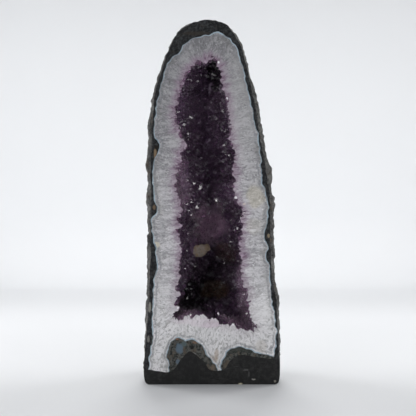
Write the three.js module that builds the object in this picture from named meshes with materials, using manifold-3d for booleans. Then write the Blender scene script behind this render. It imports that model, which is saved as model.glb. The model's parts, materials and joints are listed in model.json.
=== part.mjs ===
// An amethyst cathedral geode: a tall basalt nodule sawn open along its height and stood on a cast
// cement foot. Behind the sawn face the rock is a set of nested shells: the basalt rind, a thin skin of
// blue agate, a thick wall of milky quartz, and the amethyst crystals that line the hollow. A lump of
// calcite grew later on the crystals of the back wall.
//
// Millimetres, +Z up. The sawn face looks along -Y and the rounded back is on +Y. The origin is the
// middle of the flat underside.
import * as THREE from "three";
import { mergeVertices } from "three/addons/utils/BufferGeometryUtils.js";
import Module from "manifold-3d";

const wasm = await Module();
wasm.setup();

// Driving dimensions.
const DEPTH = 150; // sawn face to the furthest point of the back
const FACE_Y = -DEPTH / 2;
const GAP = 0.3; // left between pieces that touch
const AGATE = 2.4; // thickness of the agate skin
const DRUSE = 9; // thickness of the amethyst layer, without its points
const POINT_STAND = 5; // how far the cavity line, drawn along the crystal tips, lies inside their roots
const FORWARD = 20; // how far a cutting solid reaches in front of the sawn face
const FLARE = 0.045; // the skin swells by this share just behind the sawn edge
const FLARE_AT_FOOT = 0.3; // share of that swelling at floor level
const FLARE_HEIGHT = 200; // height over which it grows to the full swelling

// Depth of each shell from the sawn face to its back, at the low and the high end of its spine.
const RIND_DEPTH = [DEPTH, 108];
const AGATE_DEPTH = [136, 95];
const QUARTZ_DEPTH = [105, 68];
const CAVITY_DEPTH = [97, 60];

// The spine is the upright line that a shell closes on at its back, from low to high, as [x, z].
const RIND_SPINE = [[0, 0], [-8, 345]];
const AGATE_SPINE = [[0, 95], [-8, 345]];
const CAVITY_SPINE = [[4, 118], [-9, 345]];

// Plan of a half shell, from the sawn face backwards: [share of the depth, share of the half width].
// A share above 1 is part of the swelling, which is scaled by FLARE.
const RIND_SECTION = [[0.1, 2], [0.3, 1.7], [0.55, 0.95], [0.78, 0.76], [0.93, 0.48], [1, 0.12]];
const INNER_SECTION = [[0.15, 1.3], [0.45, 0.97], [0.72, 0.8], [0.93, 0.42], [1, 0.1]];

// Outlines on the sawn face as [x, z], anticlockwise seen from the front, starting at the lower right.
// The edge of the sawn face, from the foot's right corner over the top and down to its left corner.
const FACE_EDGE = [
  [78, 0], [82, 3], [83.4, 8], [83.2, 30], [82, 60], [80.5, 90], [78, 112], [74, 133], [73, 165],
  [73, 200], [73, 232], [70, 252], [66.5, 275], [63, 293], [59, 316], [56, 336], [51.5, 356],
  [47, 375], [43, 393], [38, 410], [32, 424], [26, 435], [19, 443], [11, 447], [2, 449.3],
  [-11, 449.5], [-24, 446], [-36, 439], [-44, 431], [-51, 420], [-55, 408], [-60.5, 392],
  [-66, 374], [-71, 357], [-73.5, 340], [-75, 322], [-75.5, 300], [-77.5, 277], [-77, 230],
  [-76.5, 190], [-77, 150], [-78.5, 105], [-80.5, 67], [-82.5, 40], [-83.4, 24], [-83.4, 8],
  [-82, 3], [-78, 0],
];

// Where the rind meets the agate, without the humps of rock that push up into the bottom.
const AGATE_LINE = [
  [76, 6], [77, 34], [80, 60], [77.5, 90], [73.5, 106], [70, 146], [66.5, 159], [69.2, 170],
  [66.5, 184], [69.5, 202], [69.5, 222], [65.5, 241], [61.5, 256], [61, 278], [58, 300], [54, 320],
  [50, 340], [45.5, 360], [41.5, 377], [38.5, 392], [34.5, 405], [30, 416], [24.5, 424], [18, 430],
  [10, 435], [2, 434.5], [-6, 430.5], [-18, 428.5], [-29, 424], [-36, 416], [-42, 408], [-50, 402],
  [-57, 390], [-62, 374], [-67, 354], [-70, 335], [-71.5, 318], [-70, 303], [-65.5, 292],
  [-71, 276], [-74, 262], [-72.5, 228], [-68, 218], [-73.5, 204], [-70.5, 165], [-69, 147],
  [-72, 125], [-74.5, 85], [-73.7, 62], [-78, 25], [-78.5, 6],
];

// The two humps, cut by the saw: the space below this outline is rock or cement.
const HUMPS = [
  [95, -20], [95, 33], [77, 34], [64, 37.5], [50, 41.5], [36, 45], [26, 43], [18, 36], [13, 24],
  [11, 12], [5.5, 12], [3, 22], [-5, 31], [-10.5, 43], [-17, 53], [-28, 55.5], [-38, 57],
  [-46, 54], [-52, 46], [-54, 36], [-51.5, 25], [-52, -20],
];

// The cavity's edge, drawn along the tips of the crystals that the saw cut through.
const CAVITY_LINE = [
  [53.5, 70], [49, 88], [44.5, 108], [38.5, 130], [37, 150], [34, 172], [36, 195], [38, 214],
  [31, 224], [25.5, 238], [28.5, 254], [26.5, 272], [27.5, 287], [22, 303], [24, 320], [19.5, 340],
  [17, 358], [12, 374], [9.5, 388], [4.5, 398], [-1.5, 404], [-8, 399], [-18, 397.5], [-26, 390],
  [-33.5, 378], [-38.5, 362], [-43, 345], [-43, 325], [-37, 308], [-32, 292], [-37, 277],
  [-43, 260], [-42, 240], [-37.5, 216], [-42, 198], [-38, 175], [-38.5, 150], [-40.5, 128],
  [-44, 110], [-46, 92], [-44, 81], [-25, 83.5], [-10, 82], [0, 79], [9, 72], [20, 69.5], [33, 67.5],
  [45, 66],
];

// The cement, cast into the hollows under the sawn-off geode: its top line, closed below the floor.
const FOOT = [
  [95, -20], [95, 30], [77, 30.5], [54, 34], [34, 36.5], [28, 34], [22, 30], [15, 18.5], [-1, 16.5],
  [-5, 18], [-8, 26.5], [-20, 36.5], [-27, 41], [-34, 35], [-40, 30], [-48, 18], [-52, 15.5],
  [-80, 18], [-95, 18], [-95, -20],
];

// Amethyst points of the cavity wall: the larger ones, laid out in rows that follow the shell.
const POINT_SIDES = 6;
const POINT_RADIUS = 7;
const POINT_ROOT_RADIUS = 5.6; // at the buried end of the prism
const POINT_PRISM = 7; // length of the prism, mostly buried in the layer
const POINT_TIP = 8; // length of the pyramid on its end
const POINT_SCALE = [0.75, 1.25]; // smallest and largest, against the sizes above
const POINT_SPACING = 26;
const POINT_LEAN = 0.35; // most that a point leans, against its own length
const POINT_SEED = 7;

// The calcite lump: its middle as [x, distance behind the sawn face, z], and its half sizes.
const CALCITE_AT = [-15, 83, 157.5];
const CALCITE_HALF = [11.5, 5.5, 9];

const MERGE_WITHIN = 1e-4; // corners closer than this are one corner
const SURFACE_STEP = 0.02; // step along a shell that finds which way its wall faces

const FINISHES = {
  basalt: { color: 0x33363a, roughness: 0.9 },
  agate: { color: 0x9fb4c6, roughness: 0.3 },
  quartz: { color: 0xc9c6cb, roughness: 0.35 },
  amethyst: { color: 0x4a3357, roughness: 0.15 },
  calcite: { color: 0x8c7d68, roughness: 0.6 },
  cement: { color: 0x2b2c2e, roughness: 0.8 },
};

// A repeatable pseudo-random sequence of numbers between low and high.
function sequence(seed) {
  const [multiplier, increment, modulus] = [1664525, 1013904223, 2 ** 32];
  let state = seed;
  return (low, high) => {
    state = (state * multiplier + increment) % modulus;
    return THREE.MathUtils.lerp(low, high, state / modulus);
  };
}

// A closed three.js geometry as a solid that can be joined and cut.
function solid(geometry) {
  const bare = geometry.index ? geometry.toNonIndexed() : geometry.clone();
  bare.deleteAttribute("normal");
  bare.deleteAttribute("uv");
  const merged = mergeVertices(bare, MERGE_WITHIN);
  return new wasm.Manifold(
    new wasm.Mesh({
      numProp: 3,
      vertProperties: merged.attributes.position.array,
      triVerts: new Uint32Array(merged.index.array),
    }),
  );
}

// A solid as a three.js geometry with flat-shaded faces.
function geometryOf(body) {
  const mesh = body.getMesh();
  const geometry = new THREE.BufferGeometry();
  geometry.setAttribute("position", new THREE.BufferAttribute(mesh.vertProperties, 3));
  geometry.setIndex(new THREE.BufferAttribute(mesh.triVerts, 1));
  const flat = geometry.toNonIndexed();
  flat.computeVertexNormals();
  return flat;
}

// The outline with each corner moved outwards by distance, or inwards where it is negative.
function offset(outline, distance) {
  return outline.map((point, i) => {
    const before = outline[(i + outline.length - 1) % outline.length];
    const after = outline[(i + 1) % outline.length];
    const along = new THREE.Vector2(after[0] - before[0], after[1] - before[1]).normalize();
    return [point[0] + along.y * distance, point[1] - along.x * distance];
  });
}

// The spine's nearest point to an outline point, and how far up the spine that is, from 0 to 1.
function nearestOnSpine([low, high], [x, z]) {
  const run = new THREE.Vector2(high[0] - low[0], high[1] - low[1]);
  const share = (run.x * (x - low[0]) + run.y * (z - low[1])) / run.lengthSq();
  const along = THREE.MathUtils.clamp(share, 0, 1);
  return { along, x: low[0] + run.x * along, z: low[1] + run.y * along };
}

// A point of a shell: an outline point carried backwards by a share of the depth, while its distance
// from the spine is scaled by width.
function shellPoint(shell, point, depthShare, width) {
  const spine = nearestOnSpine(shell.spine, point);
  const swell = FLARE * Math.min(1, FLARE_AT_FOOT + point[1] / FLARE_HEIGHT);
  const scale = width > 1 ? 1 + (width - 1) * swell : width;
  const depth = THREE.MathUtils.lerp(shell.depth[0], shell.depth[1], spine.along);
  return new THREE.Vector3(
    spine.x + (point[0] - spine.x) * scale,
    FACE_Y + depth * depthShare,
    spine.z + (point[1] - spine.z) * scale,
  );
}

// The triangles of a ring of points, as if seen from the front.
function cap(ring) {
  const flat = ring.map((point) => new THREE.Vector2(point.x, point.z));
  return THREE.ShapeUtils.triangulateShape(flat, []);
}

// A half shell, filled, with its outline and its back drawn in by distance. Its outline lies on the sawn
// face, or forward of it for a cutting solid. Its back is triangulated as the undrawn one is, so that
// shells drawn in by different distances never cross.
function shellSolid(shell, distance = 0, forward = 0) {
  const ringsOf = (drawn) =>
    [[0, 1], ...shell.section].map(([depthShare, width]) =>
      drawn.outline.map((point) => shellPoint(drawn, point, depthShare, width)),
    );
  const drawn = {
    ...shell,
    outline: offset(shell.outline, -distance),
    depth: shell.depth.map((depth) => depth - distance),
  };
  const rings = ringsOf(drawn);
  const backCap = cap(ringsOf(shell).at(-1));
  if (forward) rings.unshift(drawn.outline.map(([x, z]) => new THREE.Vector3(x, FACE_Y - forward, z)));
  const count = shell.outline.length;
  const faces = [];
  for (let ring = 0; ring + 1 < rings.length; ring++) {
    for (let i = 0; i < count; i++) {
      const [front, next] = [ring * count + i, ring * count + ((i + 1) % count)];
      faces.push(front, front + count, next, next, front + count, next + count);
    }
  }
  const last = (rings.length - 1) * count;
  cap(rings[0]).forEach(([a, b, c]) => faces.push(a, b, c));
  backCap.forEach(([a, b, c]) => faces.push(last + a, last + c, last + b));
  const geometry = new THREE.BufferGeometry().setFromPoints(rings.flat());
  geometry.setIndex(faces);
  return solid(geometry);
}

// The space inside an outline, from in front of the sawn face to behind the geode.
function block(outline) {
  const shape = new THREE.Shape(outline.map(([x, z]) => new THREE.Vector2(x, z)));
  const through = new THREE.ExtrudeGeometry(shape, { depth: DEPTH + 2 * FORWARD, bevelEnabled: false });
  through.rotateX(Math.PI / 2);
  return solid(through.translate(0, DEPTH / 2 + FORWARD, 0));
}

// One amethyst point along +Z, with its shoulder at the origin: a six-sided prism ending in a pyramid.
function pointGeometry(scale) {
  const profile = [
    [0, -POINT_PRISM], [POINT_ROOT_RADIUS, -POINT_PRISM], [POINT_RADIUS, 0], [0, POINT_TIP],
  ];
  const turned = new THREE.LatheGeometry(
    profile.map(([radius, height]) => new THREE.Vector2(radius * scale, height * scale)),
    POINT_SIDES,
  );
  return turned.rotateX(Math.PI / 2);
}

// The way the wall of a shell faces at the outline's point i: into the hollow.
function inward(shell, i, depthShare, width) {
  const { outline } = shell;
  const at = shellPoint(shell, outline[i], depthShare, width);
  const beside = shellPoint(shell, outline[(i + 1) % outline.length], depthShare, width);
  const behind = shellPoint(shell, outline[i], depthShare + SURFACE_STEP, width - SURFACE_STEP);
  return beside.sub(at).cross(behind.sub(at)).normalize();
}

// The larger amethyst points, spaced along every ring of the cavity's wall but the last.
function points(cavity) {
  const random = sequence(POINT_SEED);
  const lean = () => random(-POINT_LEAN, POINT_LEAN);
  const made = [];
  for (const [depthShare, width] of cavity.section.slice(0, -1)) {
    let walked = random(0, POINT_SPACING);
    cavity.outline.forEach((point, i) => {
      const at = shellPoint(cavity, point, depthShare, width);
      const next = cavity.outline[(i + 1) % cavity.outline.length];
      walked += at.distanceTo(shellPoint(cavity, next, depthShare, width));
      if (walked < POINT_SPACING) return;
      walked = 0;
      const towards = inward(cavity, i, depthShare, width).add(new THREE.Vector3(lean(), lean(), lean()));
      const up = new THREE.Vector3(0, 0, 1);
      const turn = new THREE.Quaternion().setFromUnitVectors(up, towards.normalize());
      const geometry = pointGeometry(random(...POINT_SCALE)).rotateZ(random(0, Math.PI));
      made.push(solid(geometry.applyQuaternion(turn).translate(at.x, at.y, at.z)));
    });
  }
  return made;
}

// The calcite lump, grown by grow on every side: low, rounded and many-sided, on the back wall.
function calcite(grow) {
  const lump = new THREE.IcosahedronGeometry(1, 1);
  lump.scale(...CALCITE_HALF.map((half) => half + grow));
  const [x, behind, z] = CALCITE_AT;
  return solid(lump.translate(x, FACE_Y + behind, z));
}

// The nested shells, from the outside in. Each keeps GAP to the one around it.
const rindShell = {
  outline: FACE_EDGE, spine: RIND_SPINE, depth: RIND_DEPTH, section: RIND_SECTION,
};
const agateShell = {
  outline: AGATE_LINE, spine: AGATE_SPINE, depth: AGATE_DEPTH, section: INNER_SECTION,
};
const cavityRoots = {
  outline: offset(CAVITY_LINE, POINT_STAND),
  spine: CAVITY_SPINE, depth: CAVITY_DEPTH, section: INNER_SECTION,
};
const druseShell = {
  outline: offset(CAVITY_LINE, POINT_STAND + DRUSE),
  spine: CAVITY_SPINE, depth: QUARTZ_DEPTH, section: INNER_SECTION,
};

// What lies inside the agate line, drawn in by distance. It is open at the sawn face if it cuts.
function insideAgate(distance, forward = 0) {
  return shellSolid(agateShell, distance, forward).subtract(block(offset(HUMPS, distance)));
}

const nodule = shellSolid(rindShell);
const footAndGap = block(offset(FOOT, GAP));
const druse = shellSolid(druseShell, GAP);
const lining = druse.subtract(shellSolid(cavityRoots, 0, FORWARD));
const sawnPoints = points(cavityRoots).map((point) => point.intersect(druse));
const amethyst = wasm.Manifold.union([lining, ...sawnPoints]);

const geode = new THREE.Group();

// Adds a piece to the geode as a named mesh.
function add(name, body, finish) {
  const material = new THREE.MeshStandardMaterial({ ...FINISHES[finish], metalness: 0 });
  const mesh = new THREE.Mesh(geometryOf(body), material);
  mesh.name = name;
  geode.add(mesh);
}

add("cement_foot", nodule.intersect(block(FOOT)), "cement");
add("basalt_rind", nodule.subtract(insideAgate(0, FORWARD)).subtract(footAndGap), "basalt");
add("agate_band", insideAgate(GAP).subtract(insideAgate(AGATE, FORWARD)).subtract(footAndGap), "agate");
add(
  "quartz_wall",
  insideAgate(AGATE + GAP).subtract(shellSolid(druseShell, 0, FORWARD)).subtract(footAndGap),
  "quartz",
);
add("amethyst_druse", amethyst.subtract(calcite(GAP)), "amethyst");
add("calcite_lump", calcite(0), "calcite");

export default geode;
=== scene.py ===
"""An amethyst cathedral geode, sawn flat in front and standing on a cast cement foot.

Metres, +Z up. The sawn face looks along -Y, and the rounded back of the nodule is on +Y. Behind the face lie
nested shells of basalt, agate, milky quartz and amethyst, round a hollow that is open to the front.
"""
import json
import logging
import math
from collections.abc import Callable, Iterator, Sequence
from contextlib import contextmanager
from dataclasses import dataclass, field, replace
from enum import Enum
from itertools import combinations
from typing import NamedTuple

import bmesh
import bpy
import numpy as np
from mathutils import Matrix, Vector, noise
from mathutils.geometry import delaunay_2d_cdt
from mathutils.kdtree import KDTree

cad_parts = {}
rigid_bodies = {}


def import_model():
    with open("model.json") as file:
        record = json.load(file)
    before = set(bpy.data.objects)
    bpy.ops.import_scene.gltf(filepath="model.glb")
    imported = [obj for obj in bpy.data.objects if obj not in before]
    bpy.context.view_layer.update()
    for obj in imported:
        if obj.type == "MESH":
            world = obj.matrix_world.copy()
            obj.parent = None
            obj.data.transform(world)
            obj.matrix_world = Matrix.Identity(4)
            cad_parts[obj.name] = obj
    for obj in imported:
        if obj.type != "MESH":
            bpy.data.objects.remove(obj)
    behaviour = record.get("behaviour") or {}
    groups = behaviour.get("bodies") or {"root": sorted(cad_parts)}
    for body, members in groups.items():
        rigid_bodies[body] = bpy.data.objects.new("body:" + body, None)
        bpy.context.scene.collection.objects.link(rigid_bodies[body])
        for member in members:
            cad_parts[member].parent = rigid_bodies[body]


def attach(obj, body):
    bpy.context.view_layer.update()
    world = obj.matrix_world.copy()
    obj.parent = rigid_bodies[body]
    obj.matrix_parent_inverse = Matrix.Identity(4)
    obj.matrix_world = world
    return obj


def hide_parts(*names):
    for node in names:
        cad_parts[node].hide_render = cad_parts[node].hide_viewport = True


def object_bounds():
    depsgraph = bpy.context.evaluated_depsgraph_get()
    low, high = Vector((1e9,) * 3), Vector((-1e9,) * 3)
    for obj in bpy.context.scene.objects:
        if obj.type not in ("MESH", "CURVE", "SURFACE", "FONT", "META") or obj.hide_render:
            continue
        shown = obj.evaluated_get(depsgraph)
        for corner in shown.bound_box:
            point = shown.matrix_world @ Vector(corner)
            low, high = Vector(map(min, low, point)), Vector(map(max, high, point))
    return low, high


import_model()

LOG = logging.getLogger("geode")
MM = 0.001
CAD_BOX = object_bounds()
FACE_Y = CAD_BOX[0].y
# Vertices this close to the sawn face lie on it, and vertices this close together are one, in metres.
ON_FACE = 1e-6
SAME_PLACE = 1e-7

Array = np.ndarray
Object = bpy.types.Object
Mesh = bpy.types.Mesh
Material = bpy.types.Material
Socket = bpy.types.NodeSocket
Pair = tuple[float, float]
Triple = tuple[float, float, float]
Colour = Triple
Input = float | tuple | Socket


class Body(Enum):
    """The rigid bodies that pieces ride on."""

    ROOT = "root"


class Cut(Enum):
    """What one solid does to another."""

    TAKE_AWAY = "DIFFERENCE"
    KEEP_COMMON = "INTERSECT"


# ----------------------------------------
# Outlines on the sawn face, in millimetres as (x, z), anticlockwise seen from the front.

FACE_EDGE = (
    (78, 0), (82, 2.5), (83.4, 8), (83.2, 30), (82, 60), (80.5, 90), (78, 112), (74, 133), (73, 165),
    (73, 200), (73, 232), (70, 252), (66.5, 275), (63, 293), (59, 316), (56, 336), (51.5, 356),
    (47, 375), (43, 393), (38, 410), (32, 424), (26, 435), (19, 443), (11, 447), (2, 449.3),
    (-11, 449.5), (-24, 446), (-36, 439), (-44, 431), (-51, 420), (-55, 408), (-60.5, 392),
    (-66, 374), (-71, 357), (-73.5, 340), (-75, 322), (-75.5, 300), (-77.5, 277), (-77, 230),
    (-76.5, 190), (-77, 150), (-78.5, 105), (-80.5, 67), (-82.5, 40), (-83.4, 24), (-83.4, 8),
    (-82, 2.5), (-78, 0),
)
AGATE_LINE = (
    (76, 6), (77, 34), (79, 46), (80, 60), (78.3, 76), (77.5, 90), (73.5, 106), (72.5, 125),
    (70, 146), (66.5, 159), (69.2, 170), (65.5, 182), (69.5, 202), (69.5, 222), (65.5, 241),
    (61.5, 256), (61, 278), (58, 300), (54, 320), (50, 340), (45.5, 360), (41.5, 377), (38.5, 392),
    (34.5, 405), (30, 416), (24.5, 424), (18, 430), (10, 434.5), (3, 435.5), (-4, 431.5), (-13, 430),
    (-22, 427.5), (-29, 424), (-36, 416), (-42, 408.5), (-49, 405), (-53.5, 398), (-58, 388),
    (-62, 374), (-67, 354), (-70, 335), (-71.5, 318), (-71, 306), (-66, 298), (-65.5, 290),
    (-70, 280), (-74, 262), (-72.5, 245), (-72.5, 228), (-67.5, 217), (-74, 204), (-74, 190),
    (-71, 170), (-68.5, 147), (-72, 131), (-73.5, 114), (-73, 104), (-74.5, 85), (-74, 66),
    (-74, 52), (-77, 38), (-78, 25), (-78.5, 6),
)
HUMPS = (
    (95, -20), (95, 31), (79, 32.5), (75, 34.5), (66, 36), (59, 37.6), (53, 39.5), (46.9, 42.5),
    (40, 45.3), (34.5, 46.3), (28.4, 45), (22.2, 42.5), (17.3, 36.4), (13.6, 27.7), (12, 21.6),
    (11.5, 12), (8.5, 12), (6.8, 20.3), (3.7, 24.7), (-2.5, 31.4), (-7.4, 36.4), (-9.9, 42.5),
    (-13.6, 48.7), (-18.5, 52.4), (-24.7, 54.3), (-30, 53.8), (-35.8, 54.9), (-41.9, 57.3),
    (-45.6, 56.1), (-51.2, 49.9), (-53.6, 42.5), (-54.9, 35.1), (-54.3, 30.2), (-51.2, 24),
    (-52.4, 17.9), (-53, -20),
)
CAVITY_LINE = (
    (52.5, 71), (50.5, 82), (46, 94), (44.5, 108), (38.5, 122), (36, 140), (37, 152), (34.5, 164),
    (34, 178), (37, 192), (35.5, 202), (38.5, 212), (33, 222), (26.5, 232), (25.5, 246), (28.5, 254),
    (26, 266), (27.5, 287), (22, 298), (23, 318), (19.5, 334), (17, 356), (12, 374), (10, 388),
    (5, 396), (-1.5, 403), (-7, 397.5), (-18, 397), (-26, 391), (-32, 380), (-37, 366), (-43, 345),
    (-43.5, 325), (-37.5, 306), (-34, 298), (-31.5, 292), (-38, 288), (-39, 283), (-38, 277),
    (-42.5, 262), (-43, 240), (-38, 219), (-40.5, 204), (-42, 190), (-38, 172), (-38.5, 152),
    (-40.5, 130), (-43, 110), (-46, 92), (-45.5, 82), (-34, 84), (-25, 84), (-12, 86), (-4, 82),
    (3, 79.5), (9, 74.5), (20, 71), (33, 68.5), (44, 66.5), (50.5, 67),
)
FOOT = (
    (95, -20), (95, 30), (76.4, 31.2), (66, 32.5), (53, 34), (43, 36), (34.5, 36.4), (28.4, 34.2),
    (22.5, 29.5), (18.5, 23), (15, 19), (8, 17.2), (-1, 17.5), (-4.5, 20), (-8.5, 27), (-13.5, 31),
    (-19.7, 36.8), (-27.1, 40.8), (-34.5, 35.5), (-39.5, 29.5), (-44, 22), (-49, 17), (-55, 15.3),
    (-80, 18.5), (-95, 18.5), (-95, -20),
)


def inside_loops(starts: Array, ends: Array, places: Array) -> Array:
    """Which places lie inside closed loops, by counting the edges that a level line crosses.

    Args:
        starts: one end of each of the loops' edges, as rows of (x, z), in metres.
        ends: the other end of each.
        places: rows of (x, z), in metres.
    Returns:
        One truth value for each place.
    """
    inside = np.zeros(len(places), bool)
    x, z = places.T
    for (ax, az), (bx, bz) in zip(starts, ends):
        if az != bz:
            inside ^= ((az > z) != (bz > z)) & (x < (bx - ax) * (z - az) / (bz - az) + ax)
    return inside


def search_tree(points: Array) -> KDTree:
    """Sorts points so that the nearest one is quickly found.

    Args:
        points: rows of (x, z), in metres.
    Returns:
        The tree, which holds each point as (x, z, 0).
    """
    tree = KDTree(len(points))
    for i, (x, z) in enumerate(points):
        tree.insert((x, z, 0), i)
    tree.balance()
    return tree


@dataclass
class Outline:
    """A closed line on the sawn face.

    Args:
        points: its corners as rows of (x, z), in metres, anticlockwise seen from the front.
    """

    points: Array

    @classmethod
    def through(cls, corners: Sequence[Pair], step: float) -> "Outline":
        """Draws a smooth closed line through corners.

        Args:
            corners: what it passes through, in millimetres.
            step: length between the points that it is given, in metres.
        Returns:
            The line, with points spaced evenly between its corners.
        """
        ends = np.array(corners, float) * MM
        rows = []
        for i in range(len(ends)):
            p0, p1, p2, p3 = (ends[(i + k) % len(ends)] for k in (-1, 0, 1, 2))
            a, b, c = (float(np.linalg.norm(q - p)) ** 0.5 for p, q in ((p0, p1), (p1, p2), (p2, p3)))
            m1 = ((p1 - p0) / a - (p2 - p0) / (a + b) + (p2 - p1) / b) * b
            m2 = ((p2 - p1) / b - (p3 - p1) / (b + c) + (p3 - p2) / c) * b
            pieces = max(1, round(float(np.linalg.norm(p2 - p1)) / step))
            t = np.arange(pieces)[:, None] / pieces
            rows.append(
                (2 * t**3 - 3 * t**2 + 1) * p1 + (t**3 - 2 * t**2 + t) * m1
                + (3 * t**2 - 2 * t**3) * p2 + (t**3 - t**2) * m2
            )
        return cls(np.vstack(rows))

    def steps(self) -> Array:
        """The distance from each point to the next, in metres."""
        return np.linalg.norm(np.roll(self.points, -1, 0) - self.points, axis=1)

    def normals(self) -> Array:
        """Unit vectors square to the line, pointing out of it."""
        along = np.roll(self.points, -1, 0) - np.roll(self.points, 1, 0)
        along /= np.linalg.norm(along, axis=1)[:, None]
        return np.column_stack((along[:, 1], -along[:, 0]))

    def waves(self, kind: Callable[[Vector], float], wavelength: float, seed: float) -> Array:
        """Noise at each point of the line.

        Args:
            kind: works out the noise at a place.
            wavelength: length of its longest waves, in metres.
            seed: picks one pattern.
        Returns:
            One number for each point.
        """
        return np.array([kind(Vector((x / wavelength, seed, z / wavelength))) for x, z in self.points])

    def smoothed(self, reach: float) -> "Outline":
        """The line with its wiggles ironed out.

        Args:
            reach: length over which it is averaged, in metres.
        Returns:
            A smoother line with the same number of points.
        """
        step = self.steps().mean()
        half = max(1, round(3 * reach / step))
        weights = np.exp(-0.5 * (np.arange(-half, half + 1) * step / reach) ** 2)
        weights /= weights.sum()
        return Outline(sum(w * np.roll(self.points, k, 0) for k, w in zip(range(-half, half + 1), weights)))

    def shifted(self, distance: float | Array) -> "Outline":
        """The line with each point moved outwards by a distance, in metres, negative for inwards."""
        return Outline(self.points + (self.normals().T * distance).T)

    def moved(self, distance: float | Array) -> "Outline":
        """The shifted line, lightly smoothed so that it doesn't fold over itself."""
        return self.shifted(distance).smoothed(0.8 * MM)

    def wavered(self, amount: float, wavelength: float, seed: float) -> "Outline":
        """The line with natural wiggles.

        Args:
            amount: how far it strays at most, in metres.
            wavelength: length of the longest wiggles, in metres.
            seed: picks one set of wiggles.
        Returns:
            The wavering line.
        """
        return self.shifted(amount * self.waves(lambda p: noise.fractal(p, 0.9, 2.1, 4), wavelength, seed))

    def holds(self, places: Array) -> Array:
        """Which places, as rows of (x, z) in metres, lie inside the line."""
        return inside_loops(self.points, np.roll(self.points, -1, 0), places)

    def nearest(self, places: Array) -> tuple[Array, Array]:
        """How far places are from the line, and where along it.

        Args:
            places: rows of (x, z), in metres.
        Returns:
            Each place's distance to the line, and how far along the line its nearest point is.
        """
        tree = search_tree(self.points)
        hit = np.array([tree.find((x, z, 0))[1] for x, z in places])
        best = np.full(len(places), np.inf)
        arc = np.zeros(len(places))
        starts = np.concatenate(([0.0], np.cumsum(self.steps())[:-1]))
        count = len(self.points)
        for first in (hit, (hit - 1) % count):
            a, b = self.points[first], self.points[(first + 1) % count]
            run = b - a
            length = np.linalg.norm(run, axis=1)
            t = np.clip(((places - a) * run).sum(1) / length**2, 0, 1)
            gap = np.linalg.norm(places - a - run * t[:, None], axis=1)
            closer = gap < best
            best[closer] = gap[closer]
            arc[closer] = (starts[first] + t * length)[closer]
        return best, arc


# ----------------------------------------
# Meshes and solids.


@contextmanager
def opened(mesh: Mesh, into: Mesh | None = None) -> Iterator[bmesh.types.BMesh]:
    """Opens a mesh for editing, and writes the result when the editing is done.

    Args:
        mesh: the mesh that is read.
        into: the mesh that is written, where it is another one.
    Returns:
        The open mesh.
    """
    work = bmesh.new()
    work.from_mesh(mesh)
    yield work
    work.to_mesh(mesh if into is None else into)
    work.free()


def object_of(name: str, verts: Sequence[Sequence[float]], faces: Sequence[Sequence[int]]) -> Object:
    """Makes a mesh object at the origin.

    Args:
        name: its name.
        verts: rows of (x, y, z), in metres.
        faces: corners of each face, as rows of verts.
    Returns:
        The object, linked to the scene.
    """
    mesh = bpy.data.meshes.new(name)
    mesh.from_pydata(np.asarray(verts, float).tolist(), [], [list(map(int, face)) for face in faces])
    made = bpy.data.objects.new(name, mesh)
    bpy.context.scene.collection.objects.link(made)
    return made


def evaluated_mesh(source: Object) -> Mesh:
    """The mesh that an object's modifiers make, as a new plain mesh."""
    return bpy.data.meshes.new_from_object(source.evaluated_get(bpy.context.evaluated_depsgraph_get()))


def combine(base: Object, how: Cut, *others: Object) -> None:
    """Changes a closed solid by other solids, which are used up.

    Args:
        base: the solid that is changed.
        how: what the others do to it.
        others: the solids that it is changed by, one after the other.
    """
    for other in others:
        modifier = base.modifiers.new("cut", "BOOLEAN")
        modifier.operation = how.value
        modifier.object = other
        for solver in ("MANIFOLD", "EXACT"):
            modifier.solver = solver
            mesh = evaluated_mesh(base)
            if mesh.polygons:
                break
            LOG.warning("%s needs another way to cut %s", base.name, other.name)
        base.modifiers.remove(modifier)
        base.data = mesh
        bpy.data.objects.remove(other)


def corners_of(mesh: Mesh) -> Array:
    """A mesh's vertices as rows of (x, y, z), in metres."""
    flat = np.empty(len(mesh.vertices) * 3, np.float32)
    mesh.vertices.foreach_get("co", flat)
    return flat.reshape(-1, 3).astype(float)


def ramp01(value: Array, low: float, high: float) -> Array:
    """A smooth step from 0 to 1 as value goes from low to high."""
    t = np.clip((value - low) / (high - low), 0, 1)
    return t * t * (3 - 2 * t)


def displace(
    target: Object, height: Callable[[Vector], float], keep: Callable[[Array], Array],
) -> None:
    """Moves a mesh's vertices along their normals.

    Args:
        target: the object whose mesh is changed.
        height: how far the vertex at a place moves, in metres.
        keep: how much of that each vertex keeps, from 0 to 1, worked out from all the vertices.
    """
    mesh = target.data
    places = corners_of(mesh)
    normals = np.array([vert.normal for vert in mesh.vertices], float)
    amount = np.array([height(Vector(place)) for place in places]) * keep(places)
    mesh.vertices.foreach_set("co", (places + normals * amount[:, None]).astype(np.float32).ravel())
    mesh.update()


def noted(mesh: Mesh, name: str, values: Array) -> None:
    """Writes an attribute to a mesh's vertices.

    Args:
        mesh: the mesh.
        name: the attribute's name.
        values: a number or a row of three for each vertex.
    """
    kind, key = ("FLOAT_VECTOR", "vector") if values.ndim > 1 else ("FLOAT", "value")
    mesh.attributes.new(name, kind, "POINT").data.foreach_set(key, values.astype(np.float32).ravel())


def triangulated(target: Object) -> Object:
    """Splits every face with more than four corners into triangles.

    Args:
        target: the object.
    Returns:
        The same object.
    """
    with opened(target.data) as work:
        large = [face for face in work.faces if len(face.verts) > 4]
        bmesh.ops.triangulate(work, faces=large, ngon_method="EAR_CLIP")
    return target


def welded(target: Object) -> Object:
    """Joins vertices that lie in one place, and splits large faces.

    Args:
        target: the object.
    Returns:
        The same object.
    """
    with opened(target.data) as work:
        bmesh.ops.remove_doubles(work, verts=work.verts[:], dist=SAME_PLACE)
    return triangulated(target)


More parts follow.
